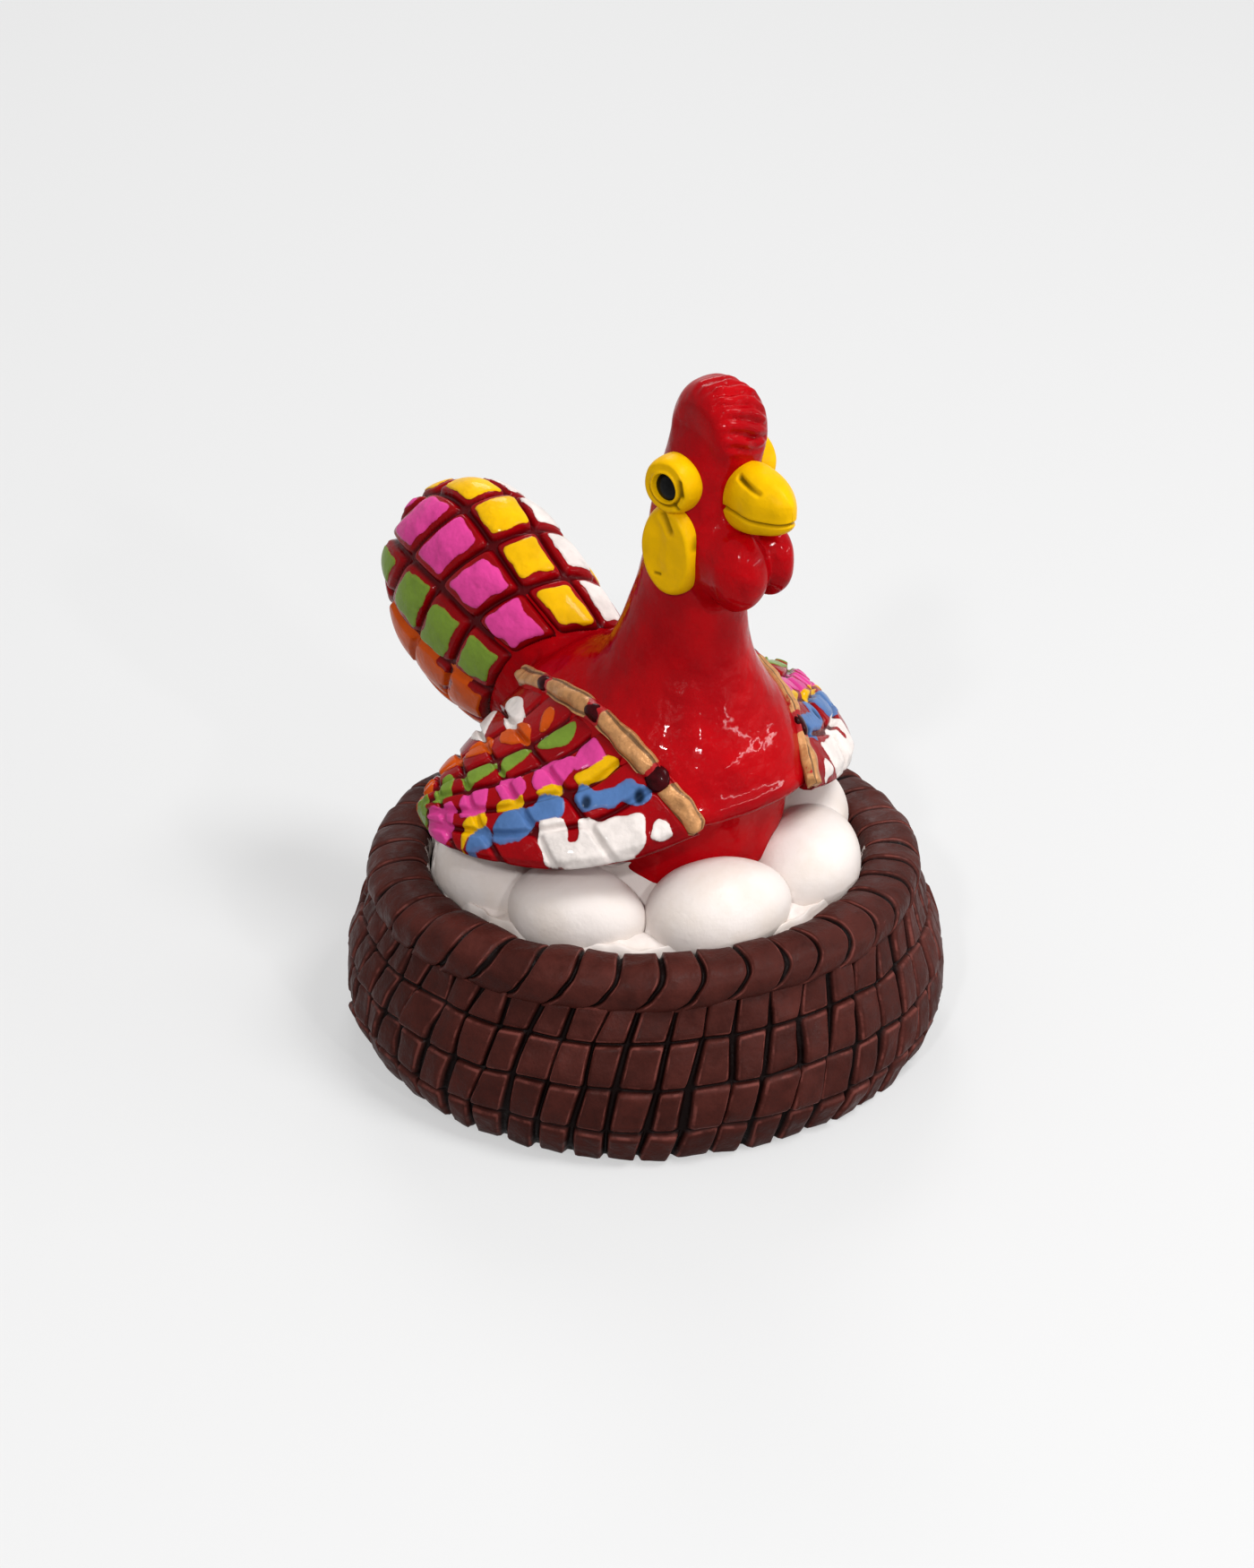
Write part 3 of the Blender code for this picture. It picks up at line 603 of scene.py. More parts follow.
def tube(name, points, attributes=None):
    """A closed smooth mesh over rows of points, each of which runs once round it."""
    index = np.arange(points[..., 0].size).reshape(points.shape[:2])
    right = np.roll(index, -1, axis=1)
    quads = np.stack((index[:-1], right[:-1], right[1:], index[1:]), axis=-1).reshape(-1, 4).tolist()
    ends = [index[0, ::-1].tolist(), index[-1].tolist()]
    return object_of(name, points, quads + ends, attributes or {})


def ring(name, points, attributes):
    """A closed ring: rows go round the section, and the first row joins the last."""
    index = np.arange(points[..., 0].size).reshape(points.shape[:2])
    up, right = np.roll(index, -1, axis=0), np.roll(index, -1, axis=1)
    quads = np.stack((index, right, np.roll(up, -1, axis=1), up), axis=-1).reshape(-1, 4).tolist()
    return object_of(name, points, quads, attributes)


def outward(mesh):
    """Turns every face outwards and shades them smooth."""
    shape = bmesh.new()
    shape.from_mesh(mesh)
    bmesh.ops.recalc_face_normals(shape, faces=shape.faces)
    shape.to_mesh(mesh)
    shape.free()
    mesh.shade_smooth()


def move_to(mesh, places):
    mesh.vertices.foreach_set("co", places.astype(np.float32).ravel())
    mesh.update()


def place_of(mesh):
    places = np.empty(len(mesh.vertices) * 3, np.float32)
    mesh.vertices.foreach_get("co", places)
    return places.reshape(-1, 3).astype(float)


def normals_of(mesh):
    normals = np.empty(len(mesh.vertices) * 3, np.float32)
    mesh.vertex_normals.foreach_get("vector", normals)
    return normals.reshape(-1, 3).astype(float)


def bake(piece):
    """Turns what a piece's modifiers make of it into its own mesh."""
    graph = bpy.context.evaluated_depsgraph_get()
    mesh = bpy.data.meshes.new_from_object(piece.evaluated_get(graph))
    piece.modifiers.clear()
    piece.data = mesh
    mesh.shade_smooth()


def dress(piece, finish):
    piece.data.materials.clear()
    piece.data.materials.append(finish)
    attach(piece, "root")
    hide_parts(NODE)


def mirrored(points, side):
    """side is 1 for the hen's right, at -X, and -1 for its left."""
    return points * np.array((side, 1.0, 1.0))


def group_tree(name, sockets):
    """An empty Geometry Nodes tree with named inputs, and the identifier of each."""
    tree = bpy.data.node_groups.new(name, "GeometryNodeTree")
    tree.interface.new_socket("Geometry", in_out="INPUT", socket_type="NodeSocketGeometry")
    tree.interface.new_socket("Geometry", in_out="OUTPUT", socket_type="NodeSocketGeometry")
    names = {}
    for label, kind in sockets.items():
        socket = tree.interface.new_socket(label, in_out="INPUT", socket_type=f"NodeSocket{kind}")
        names[label] = socket.identifier
    return tree, names


def run_tree(piece, tree, names, values):
    modifier = piece.modifiers.new(tree.name, "NODES")
    modifier.node_group = tree
    for label, value in values.items():
        modifier[names[label]] = value
    bake(piece)


def stitch_tree():
    """Raises the stitches out of a smooth wall, which says how far each point is from its stitch's edges."""
    sizes = {"Groove width": "Float", "Relief": "Float", "Unevenness": "Float"}
    group, names = group_tree("carve_stitches", {**sizes, "Seed": "Int", "Finish": "Material"})
    tree = Tree(group)
    given = tree.add("NodeGroupInput").outputs

    def read(name):
        found = tree.add("GeometryNodeInputNamedAttribute", {"Name": name}, data_type="FLOAT")
        return found.outputs["Attribute"]

    half = tree.math("MULTIPLY", given["Groove width"], 0.5)
    side = tree.span(read("to_side"), tree.math("MULTIPLY", half, 0.35), tree.math("MULTIPLY", half, 1.7))
    end = tree.span(read("to_end"), tree.math("MULTIPLY", half, -0.1), tree.math("MULTIPLY", half, 1.15))
    end = tree.math("MULTIPLY_ADD", end, 0.8, 0.2)
    carved = tree.math("MULTIPLY", side, end)
    number = tree.math("ADD", read("stitch"), given["Seed"])
    chance = tree.add("ShaderNodeTexWhiteNoise", {"W": number}, noise_dimensions="1D").outputs["Value"]
    uneven = tree.math("MULTIPLY", tree.math("MULTIPLY_ADD", chance, 2.0, -1.0), given["Unevenness"])
    raised = tree.math("ADD", tree.math("ADD", given["Relief"], uneven), read("tilt"))
    height = tree.math("MULTIPLY", tree.math("MULTIPLY", carved, raised), read("strength"))
    normal = tree.add("GeometryNodeInputNormal").outputs[0]
    offset = tree.add("ShaderNodeVectorMath", {0: normal, "Scale": height}, operation="SCALE").outputs[0]
    moved = tree.add("GeometryNodeSetPosition", {"Geometry": given["Geometry"], "Offset": offset}).outputs[0]
    toned = tree.store(tree.store(moved, "carved", carved), "stitch_tone", chance)
    tree.close(toned, given["Finish"])
    return group, names


# Where the wall's rows of stitches meet, as shares of its height
WALL_ROWS = (0.0, 0.265, 0.54, 0.80, 1.0)

# The wall's radius from base to rim, as shares of its widest
WALL_PROFILE = (0.936, 0.972, 0.995, 1.0, 0.994, 0.982, 0.955, 0.93, 0.905)

# How much of their number a wall row adds to a stitch's, so that no two stitches are alike
ROW_NUMBERS = 97
RIM_NUMBERS = 500

SHOULDER_ANGLE = math.radians(300)


def stitch_steps(samples):
    """Places across one stitch from groove to groove, closer together near the grooves."""
    even = np.linspace(0, 1, samples, endpoint=False)
    return even - 0.62 * np.sin(2 * np.pi * even) / (2 * np.pi)


def to_line(values, pitch):
    """How far each value, counted in stitches, is from the nearest whole one, in metres."""
    return np.abs(values - np.round(values)) * pitch


def shoulder(nest, angles):
    """How much higher the rim sits at each angle."""
    return nest.shoulder_rise * (0.5 + 0.5 * np.cos(angles - SHOULDER_ANGLE)) ** 1.5


def spread(values, around, course):
    """Values at the corners of the wall's stitches, run evenly over every point between them."""
    rows, columns = values.shape
    level = [np.interp(around, np.arange(columns + 1), np.append(row, row[0])) for row in values]
    level = np.array(level)
    return np.array([np.interp(course, np.arange(rows), level[:, k]) for k in range(len(around))]).T


def nest_wall(nest):
    """The wall: four rows of stitches over a flat base. Rows run from the middle of the base to the rim."""
    n, rows = nest.wall_stitches, len(WALL_ROWS) - 1
    around = (np.arange(n)[:, None] + stitch_steps(14)).ravel()
    course = np.concatenate([row + stitch_steps(13) for row in range(rows)] + [[rows]])
    height = np.interp(course, np.arange(rows + 1), WALL_ROWS)
    column = np.floor(around + 1e-6).astype(int)
    row = np.minimum(np.floor(course + 1e-6).astype(int), rows - 1)
    random = np.random.default_rng(nest.seed)
    slip = random.uniform(-1, 1, (rows + 1, n)) * 0.42 * MM / nest.radius
    slip += np.sin(np.arange(n) * 0.7)[None] * 0.2 * MM / nest.radius
    lean = nest.lean * (height + 0.25 * height**4)
    theta = 2 * np.pi * around / n + lean[:, None] + spread(slip, around, course)
    radius = (nest.radius * profile(WALL_PROFILE, height) - nest.relief)[:, None] * np.ones_like(theta)
    dip = random.uniform(-1, 1, (rows + 1, n)) * 0.22 * MM
    dip[[0, -1]] = 0.0
    top = nest.wall_height + shoulder(nest, theta) * height[:, None] ** 3
    points = polar(radius, theta, height[:, None] * top + spread(dip, around, course))
    points[..., :2] *= 1 + wobble(points * (1, 1, 0.5), 24 * MM, nest.seed)[..., None] * 0.005
    points[..., :2] *= 1 + 0.014 * np.sin(2 * theta)[..., None] ** 2
    pitch = 2 * np.pi * nest.radius / n
    side = to_line(around, pitch)[None] * (1 + 0.25 * wobble(points, 6 * MM, nest.seed + 1)) + 0 * theta
    end = to_line(course, 1.0)[:, None] * 3.8 * MM + 0 * theta
    end[[0, -1]] = 0.0
    shallow = random.uniform(0, 1, (rows, n))
    shallow = np.where(shallow < 0.14, 0.26 * MM, np.where(shallow < 0.3, 0.1 * MM, 0.0))
    side += shallow[row[:, None], np.round(around).astype(int)[None] % n]
    lean_side, lean_end = random.uniform(-0.2, 0.2, (2, rows, n)) * MM
    block = row[:, None], column[None]
    tilt = lean_side[block] * 2 * (around % 1 - 0.5)[None] + lean_end[block] * 2 * (course % 1 - 0.5)[:, None]
    tilt += wobble(points, 2.4 * MM, nest.seed + 2) * 0.07 * MM
    faded = ease(wobble(points, 13 * MM, nest.seed + 8), 0.9, 1.7)
    side += faded * 0.3 * MM
    stitch = column[None] + ROW_NUMBERS * row[:, None]
    fields = {"to_side": side, "to_end": end, "stitch": stitch, "strength": 1 - 0.55 * faded, "tilt": tilt}
    feet = np.array((0.02, 0.5, 0.9, 0.985))
    floor = (points[0] * (1, 1, 0))[None] * feet[:, None, None]
    lid, core = points[-1:] * (0.85, 0.85, 1), points[-1:] * (0.05, 0.05, 1)
    under, over = np.zeros((len(floor), len(around))), np.zeros((2, len(around)))
    attributes = {key: np.concatenate((under, values, over)) for key, values in fields.items()}
    return tube("nest_wall", np.concatenate((floor, points, lid, core)), attributes)


def nest_rim(nest):
    """The fat coil on top: a squarish section carried round, wrapped with slanting stitches."""
    n = nest.rim_stitches
    around = (np.arange(n)[:, None] + stitch_steps(16)).ravel()
    column = np.floor(around + 1e-6).astype(int)
    random = np.random.default_rng(nest.seed + 7)
    turn = np.linspace(0, 1, 58)
    phi = np.radians(-52 + 245 * turn)
    slip = np.interp(around, np.arange(n + 1), np.append(random.uniform(-1, 1, n), 0)) * 0.012
    slant = np.radians(6.5) * np.sin(np.clip(turn * 1.25, 0, 1) * np.pi / 2)
    slant += np.radians(1.2) * np.sin(turn * 2 * np.pi)
    pull = 1 + 0.6 * np.cos(2 * np.pi * around / n - math.radians(215))
    theta = 2 * np.pi * around[None] / n + slant[:, None] * pull + slip[None]
    middle = (nest.rim_outer + nest.rim_inner) / 2
    half_width = (nest.rim_outer - nest.rim_inner) / 2 - nest.relief * 0.7
    half_height = (nest.rim_top - nest.wall_height) * 0.51
    radius = middle + half_width * rounded(np.cos(phi), 2.5)[:, None] + 0 * theta
    z = nest.rim_top - nest.relief * 0.7 - half_height * (1 - rounded(np.sin(phi), 2.5))[:, None]
    points = polar(radius, theta, z + shoulder(nest, theta) * np.clip(1 - turn * 3, 0, 1)[:, None])
    points[..., 2] += wobble(points, 9 * MM, nest.seed + 3) * 0.22 * MM
    pitch = 2 * np.pi * middle / n
    side = to_line(around, pitch)[None] * (1.5 + 0.4 * wobble(points, 5 * MM, nest.seed + 4))
    crease = np.abs(turn[:, None] - 0.31 - 0.02 * np.sin(theta * 7))
    end = crease * 15 * MM + 0.3 * MM + 0.12 * MM * np.abs(wobble(points, 6 * MM, nest.seed + 6))
    strength = 0.58 * (1 - 0.5 * ease(turn, 0.72, 0.9)[:, None]) + 0 * theta
    stitch = RIM_NUMBERS + column[None] + 0 * theta
    bow = random.uniform(-0.22, 0.22, n)[column] * MM
    tilt = bow[None] * 2 * (around % 1 - 0.5)[None] + wobble(points, 2.6 * MM, nest.seed + 5) * 0.12 * MM
    attributes = {"to_side": side, "to_end": end, "stitch": stitch, "strength": strength, "tilt": tilt}
    return ring("nest_rim", points, attributes)


class HEN_OT_nest(bpy.types.Operator):
    """Make the carved nest: its wall and its rim"""

    bl_idname = "hen.nest"
    bl_label = "Nest"

    def execute(self, context):
        nest = context.scene.hen_nest
        finish = nest_material()
        tree, names = stitch_tree()
        values = {"Groove width": nest.groove, "Relief": nest.relief, "Unevenness": nest.unevenness}
        values.update({"Seed": nest.seed, "Finish": finish})
        for piece in (nest_wall(nest), nest_rim(nest)):
            run_tree(piece, tree, names, values)
            places = place_of(piece.data)
            places[:, 2] = np.maximum(places[:, 2], 0.0)
            move_to(piece.data, places)
            dress(piece, finish)
        return {"FINISHED"}


def egg_tree():
    """Lays eggs end to end round a ring. The modifier's own mesh is the one egg."""
    sizes = {"Ring radius": "Float", "Height": "Float", "First": "Float", "Unevenness": "Float"}
    group, names = group_tree("lay_eggs", {"Eggs": "Int", **sizes, "Finish": "Material"})
    tree = Tree(group)
    given = tree.add("NodeGroupInput").outputs
    measures = {"Vertices": given["Eggs"], "Radius": given["Ring radius"]}
    circle = tree.add("GeometryNodeMeshCircle", measures).outputs[0]
    index = tree.add("GeometryNodeInputIndex").outputs[0]
    waves = [tree.math("MULTIPLY_ADD", index, math.pi / 2, start) for start in (-1.57, -0.9)]
    sway, size = (tree.math("SINE", wave) for wave in waves)
    step = tree.math("DIVIDE", math.tau, given["Eggs"])
    turn = tree.math("MULTIPLY_ADD", index, step, given["First"])
    turn = tree.math("MULTIPLY_ADD", sway, given["Unevenness"], turn)
    size = tree.math("MULTIPLY_ADD", size, given["Unevenness"], 1.0)
    limits = {2: -0.05, 3: 0.05, "Seed": 5}
    wander = tree.add("FunctionNodeRandomValue", limits, data_type="FLOAT").outputs[1]
    facing = tree.add("ShaderNodeCombineXYZ", {"X": wander, "Z": turn}).outputs[0]
    x, y = (tree.math("MULTIPLY", tree.math(way, turn), given["Ring radius"]) for way in ("COSINE", "SINE"))
    place = tree.add("ShaderNodeCombineXYZ", {"X": x, "Y": y, "Z": given["Height"]}).outputs[0]
    points = tree.add("GeometryNodeSetPosition", {"Geometry": circle, "Position": place}).outputs[0]
    laid = {"Points": points, "Instance": given["Geometry"], "Rotation": facing, "Scale": size}
    tree.close(tree.add("GeometryNodeInstanceOnPoints", laid).outputs[0], given["Finish"])
    return group, names


def egg(eggs):
    """One egg along Y, with a casting nib on its blunt end."""
    t = np.concatenate((np.linspace(0.002, 0.09, 12), np.linspace(0.1, 0.996, 36)))
    a = round_steps(56)
    along = -np.cos(np.pi * t)
    wide = np.sin(np.pi * t) * (1 - 0.12 * along) * eggs.diameter / 2
    y = along[:, None] * eggs.length / 2 + 0 * a
    points = np.stack((wide[:, None] * np.cos(a), y, wide[:, None] * np.sin(a)), axis=-1)
    points += points * wobble(points, 7 * MM, 3)[..., None] * 0.018
    points[..., 1] -= 0.3 * MM * np.exp(-((wide / (0.45 * MM)) ** 2))[:, None] * (along < 0)[:, None]
    return tube("eggs", points)


# The bedding from the rim's inside to its middle: radius and height, in millimetres
BEDDING = (
    (21.6, 12.0),
    (21.0, 18.3),
    (20.2, 18.75),
    (19.0, 19.0),
    (17.4, 19.1),
    (15.6, 19.3),
    (13.2, 23.0),
    (12.2, 24.0),
    (0.3, 24.0),
)


def bedding():
    """What fills the nest under the eggs, with a ragged edge where it meets the rim."""
    s = np.linspace(0, 1, 60)
    radius, level = through(np.array(BEDDING) * MM, s).T[..., None]
    b = round_steps(420)
    points = polar(radius, b, level + 0 * b)
    points[..., 2] += (wobble(points, 3.5 * MM, 6) * 0.28 + wobble(points, 1.5 * MM, 8) * 0.12) * MM
    edge = ease(s, 0.02, 0.1)[:, None] * ease(s, 0.3, 0.16)[:, None]
    points[..., :2] *= 1 + (wobble(points * (1, 1, 0), 3.0 * MM, 9) * 0.014 * edge)[..., None]
    return tube("bedding", points)


class HEN_OT_eggs(bpy.types.Operator):
    """Make the ring of eggs and the white bedding between them"""

    bl_idname = "hen.eggs"
    bl_label = "Eggs"

    def execute(self, context):
        eggs, nest = context.scene.hen_eggs, context.scene.hen_nest
        finish = egg_material()
        tree, names = egg_tree()
        ring_radius = nest.rim_inner + 0.7 * MM - eggs.diameter / 2
        values = {"Eggs": eggs.number, "Ring radius": ring_radius, "Height": eggs.height}
        values.update({"First": eggs.first, "Unevenness": eggs.unevenness, "Finish": finish})
        laid = egg(eggs)
        run_tree(laid, tree, names, values)
        dress(laid, finish)
        dress(bedding(), finish)
        return {"FINISHED"}


def level_rings(rows, sides):
    """Rings at (z, forwards, back, half width, squareness), all in metres but the last."""
    a = round_steps(sides)
    z, front, back, half_width, power = rows.T[..., None]
    x = half_width * rounded(np.cos(a), power)
    y = (back - front) / 2 + (back + front) / 2 * rounded(np.sin(a), power)
    return np.stack((x, y, z + 0 * a), axis=-1)


def tail_skin(body, s, a):
    """The tail's smooth skin at shares s of its length and angles a from the hen's right over the top."""
    place = np.interp(s, [row[0] for row in TAIL], np.linspace(0, 1, len(TAIL)))
    depth, width = through(TAIL, place)[:, 1:].T[..., None]
    axis = np.array((0, math.cos(body.tail_tilt), math.sin(body.tail_tilt)))
    up = np.array((0, -math.sin(body.tail_tilt), math.cos(body.tail_tilt)))
    high = np.sin(a) * body.tail_depth * depth
    along = s[:, None] * body.tail_length + 0 * high
    skin = np.array(TAIL_ROOT) * MM + axis * along[..., None] + up * high[..., None]
    skin[..., 0] -= np.cos(a) * body.tail_width * width
    return skin


def ellipsoid(name, centre, radii, rows=40, columns=56):
    return tube(name, unit_ball(rows, columns) * np.asarray(radii) * MM + np.asarray(centre) * MM)


def trunk(body):
    rows = through(TRUNK, np.linspace(0, 1, 150))
    rows[:, 0] = body.ledge / MM + rows[:, 0] * (body.crown - body.ledge) / MM
    rows[:, :4] *= MM
    return tube("trunk", level_rings(rows, 120))


def comb_block(body):
    """The thick rounded block on the crown, lying across the head."""
    layers = np.linspace(-1, 1, 41)[:, None]
    size = np.maximum(1 - np.abs(layers) ** 3.2 * 0.32, 0.05)
    a = round_steps(90)
    x = layers * 3.2 * MM + 0 * a + 0.25 * MM
    y = -rounded(np.cos(a), 2.35) * 4.6 * MM * size - 10.3 * MM
    z = rounded(np.sin(a), 2.35) * 5.6 * MM * size + body.crown - 1.8 * MM
    return tube("comb_block", np.stack((x, y, z), axis=-1))


def comb_creases(body, places):
    """How deep the creases that run over the front of the comb are."""
    x, y, z = places.T
    rise = np.arctan2(z - (body.crown - 1.7 * MM), -(y + 10.4 * MM))
    on_comb = ease(z, 64.5 * MM, 66.5 * MM) * ease(np.abs(x), 3.2 * MM, 2.0 * MM)
    on_comb = on_comb * ease(x, -2.9 * MM, -1.1 * MM)
    front = ease(rise, math.radians(-32), math.radians(-8)) * ease(rise, math.radians(118), math.radians(75))
    phase = rise / math.radians(16) + x / (5 * MM) + wobble(places, 5 * MM, 21) * 0.4
    notch = np.abs(np.sin(np.pi * phase)) ** 0.8
    return ((1 - notch) * 0.62 * MM + 0.10 * MM * wobble(places, 1.6 * MM, 22)) * on_comb * front


def close_to(places, middle, reach, full):
    """One near a place that is given in millimetres, fading to nought a quarter beyond its reach."""
    return ease(np.linalg.norm((places / MM - middle) / reach, axis=1), 1.25, full)


def soften(mesh, places, weight, rounds):
    """Evens out places by those of their neighbours, as far as each one's weight says."""
    ends = np.empty(len(mesh.edges) * 2, np.int32)
    mesh.edges.foreach_get("vertices", ends)
    first, second = ends.reshape(-1, 2).T
    near = (weight[first] > 0) | (weight[second] > 0)
    first, second = first[near], second[near]
    number = np.bincount(first, minlength=len(places)) + np.bincount(second, minlength=len(places))
    for _ in range(rounds):
        total = np.zeros_like(places)
        for axis in range(3):
            total[:, axis] = np.bincount(first, places[second, axis], len(places))
            total[:, axis] += np.bincount(second, places[first, axis], len(places))
        mean = total / np.maximum(number, 1)[:, None]
        places = np.where(weight[:, None] > 0, places + (mean - places) * 0.6 * weight[:, None], places)
    return places


def cast_together(name, parts, voxel, rounds):
    """One smooth skin over overlapping parts, with small fillets where they meet."""
    shape = bmesh.new()
    for part in parts:
        shape.from_mesh(part.data)
        bpy.data.objects.remove(part)
    mesh = bpy.data.meshes.new(name)
    shape.to_mesh(mesh)
    shape.free()
    made = new_object(name, mesh)
    remesh = made.modifiers.new("skin", "REMESH")
    remesh.mode = "VOXEL"
    remesh.voxel_size = voxel
    smooth = made.modifiers.new("fillets", "SMOOTH")
    smooth.factor = 0.5
    smooth.iterations = rounds
    bake(made)
    return made


class HEN_OT_body(bpy.types.Operator):
    """Make the glossy red body with its neck, head, comb, wattles and the root of the tail"""

    bl_idname = "hen.body"
    bl_label = "Body"

    def execute(self, context):
        body = context.scene.hen_body
        root = tail_skin(body, np.linspace(0, 0.33, 40), round_steps(90))
        parts = [trunk(body), tube("tail_root", root), comb_block(body)]
        parts += [ellipsoid(name, *sizes) for name, sizes in THROAT.items()]
        piece = cast_together("hen_body", parts, 0.27 * MM, 7)
        places = place_of(piece.data)
        throat = close_to(places, (0, -12.6, 54.5), (6.5, 2.4, 7.0), 0.7)
        temple = close_to(places, (0, -10.4, 61.5), (6.0, 6.5, 4.6), 0.8)
        places = soften(piece.data, places, np.maximum(throat, temple), 170)
        move_to(piece.data, places)
        lumps = wobble(places, 6 * MM, 23) * 0.07 * MM + wobble(places, 2.6 * MM, 24) * 0.03 * MM
        places += normals_of(piece.data) * (lumps - comb_creases(body, places))[:, None]
        move_to(piece.data, places)
        dress(piece, red_material())
        return {"FINISHED"}


def blocks(across, along, width, height, groove):
    """How far a block is out of its groove, from 0 to 1, and its crown, at shares across and along it."""
    to_side = np.minimum(across, 1 - across) * width
    to_end = np.minimum(along, 1 - along) * height
    corner = 0.25 * MM
    inside = -np.log(np.exp(-to_side / corner) + np.exp(-to_end / corner)) * corner
    crown = (4 * across * (1 - across)) * (4 * along * (1 - along))
    return ease(inside, groove * 0.12, groove * 0.85), crown


def coated(body, dab):
    """How far paint stands out, from how far inside a dab each point is."""
    return body.coat * ease(dab, -0.04 * MM, 0.14 * MM)


def numbers_of(names):
    """Names of paints as numbers into the list of paints."""
    return np.array([PAINT_NAMES.index(name) for name in names])


def tinted(numbers):
    """Colours of a grid of paint numbers."""
    return np.array([(*palette(name), 1.0) for name in PAINT_NAMES])[numbers]


def tail_grid(body, s, a, points):
    """The column and row of blocks that each point of the tail is in, counted in blocks."""
    fanned = ease(s, 0.15, 0.85)[:, None] * ease(a, math.radians(25), math.radians(70))
    fanned = fanned * ease(a, math.radians(175), math.radians(120))
    turned = a[None] - math.radians(20) - math.radians(12) * fanned + wobble(points, 14 * MM, 31) * 0.035
    start = TAIL_ROW - 0.135 * np.sin(a - math.radians(27))
    row = (s[:, None] - start + wobble(points, 12 * MM, 32) * 0.008) / TAIL_ROW
    return turned / (2 * np.pi / body.tail_columns), row


def rounded_dab(sides):
    """The least of the distances to a dab's sides, with its corners rounded."""
    corner = 0.42 * MM
    soft = -corner * np.log(sum(np.exp(-np.clip(side, -5 * MM, 20 * MM) / corner) for side in sides))
    return np.minimum(np.minimum.reduce(sides), soft + 0.15 * MM)


class HEN_OT_tail(bpy.types.Operator):
    """Make the fan of painted feather blocks"""

    bl_idname = "hen.tail"
    bl_label = "Tail"

    def execute(self, context):
        body = context.scene.hen_body
        columns, pitch = body.tail_columns, TAIL_ROW * body.tail_length
        s, a = slowing(0.0, 0.9, 0.995, 190, 30), round_steps(420)
        points = tail_skin(body, s, a)
        column, row = tail_grid(body, s, a, points)
        k, j = np.floor(column).astype(int) % columns, np.floor(row).astype(int)
        girth = np.interp(s, [ring[0] for ring in TAIL], [(ring[1] + ring[2]) / 2 for ring in TAIL])[:, None]
        width = 2 * np.pi / columns * (body.tail_depth + body.tail_width) / 2 * girth
        across, along = column - np.floor(column), row - j
        edge, crown = blocks(across, along, width, pitch, body.groove)
        on_fan = (row >= 0) & (row < 4.6)
        block = np.random.default_rng(12).uniform(0, 1, (8, columns, 5))[np.clip(j, 0, 7), k]
        height = body.relief * (edge + 0.5 * edge * crown) * (0.8 + 0.35 * block[..., 4])
        height = np.where(on_fan, height * ease(s, 0.99, 0.93)[:, None], -0.5 * MM)
        sides = across * width, (1 - across) * width, along * pitch, (1 - along) * pitch
        dab = rounded_dab([side - (0.58 + 0.42 * block[..., n]) * MM for n, side in enumerate(sides)])
        paints = numbers_of(TAIL_PALETTE)[k]
        orange = paints == PAINT_NAMES.index("orange")
        flood = 0.45 * MM + wobble(points, 3 * MM, 34) * 0.5 * MM
        dab = np.where(orange & (row > 0.5), np.maximum(dab, flood), dab)
        dab = np.where(orange & (row > 3.0), -1 * MM, dab)
        dab += wobble(points, 2.2 * MM, 33) * 0.16 * MM
        bare = np.maximum(0.08 * MM - row * pitch * 0.6, (s[:, None] - 0.93) * 20 * MM)
        dab = np.where(on_fan, dab - np.clip(bare, 0, 3 * MM), -2 * MM)
        root = np.where((a > math.radians(128)) & (a < math.radians(250)), 0.24, 0.085)
        dab = np.minimum(dab, (s[:, None] - root) * body.tail_length)
        points = lift(points, height + coated(body, dab), points[:150].mean(axis=(0, 1)))
        attributes = {"dab": dab, "carved": np.where(on_fan, edge, 1.0), "tint": tinted(paints)}
        dress(tube("tail_fan", points, attributes), feather_material())
        return {"FINISHED"}


def softened(outline, steps=5):
    """A smooth closed curve through an outline's points."""
    corners = np.asarray(outline, float)
    t = np.arange(len(corners) * steps) / steps
    i = t.astype(int)
    return between(*(corners[(i + k) % len(corners)] for k in (-1, 0, 1, 2)), (t - i)[:, None])


def wing_dabs(top, nudge, seed):
    """How far inside a dab each point of a wing is, the number of its paint, and where it is pitted."""
    places, grid = (top / MM)[..., :2].reshape(-1, 2), top.shape[:2]
    fields = [inside_by(places, np.array(outline) + move) for (_, outline), move in zip(WING_DABS, nudge)]
    dab = np.max(fields, axis=0).reshape(grid) * MM + 0.06 * MM
    dab += wobble(top, 1.9 * MM, seed + 2) * 0.09 * MM
    paints = numbers_of(name for name, _ in WING_DABS)[np.argmax(fields, axis=0)]
    dots = np.min([np.linalg.norm(places - dot, axis=1) for dot in BLUE_DOTS], axis=0)
    return dab, paints.reshape(grid), ease(dots, 0.62, 0.25).reshape(grid)


def inside_by(places, outline):
    """How far each place is inside a dab's outline, or outside it with a minus."""
    a = softened(outline)
    b = np.roll(a, -1, axis=0)
    edge = b - a
    gap = places[:, None] - a
    t = np.clip((gap * edge).sum(-1) / (edge**2).sum(-1), 0, 1)
    distance = np.linalg.norm(gap - t[..., None] * edge, axis=-1).min(1)
    x, y = places[:, :1], places[:, 1:]
    spans = (a[:, 1] > y) != (b[:, 1] > y)
    rise = np.where(edge[:, 1] == 0, 1e-9, edge[:, 1])
    crossings = (spans & (x < a[:, 0] + edge[:, 0] * (y - a[:, 1]) / rise)).sum(1)
    return np.where(crossings % 2 == 1, distance, -distance)


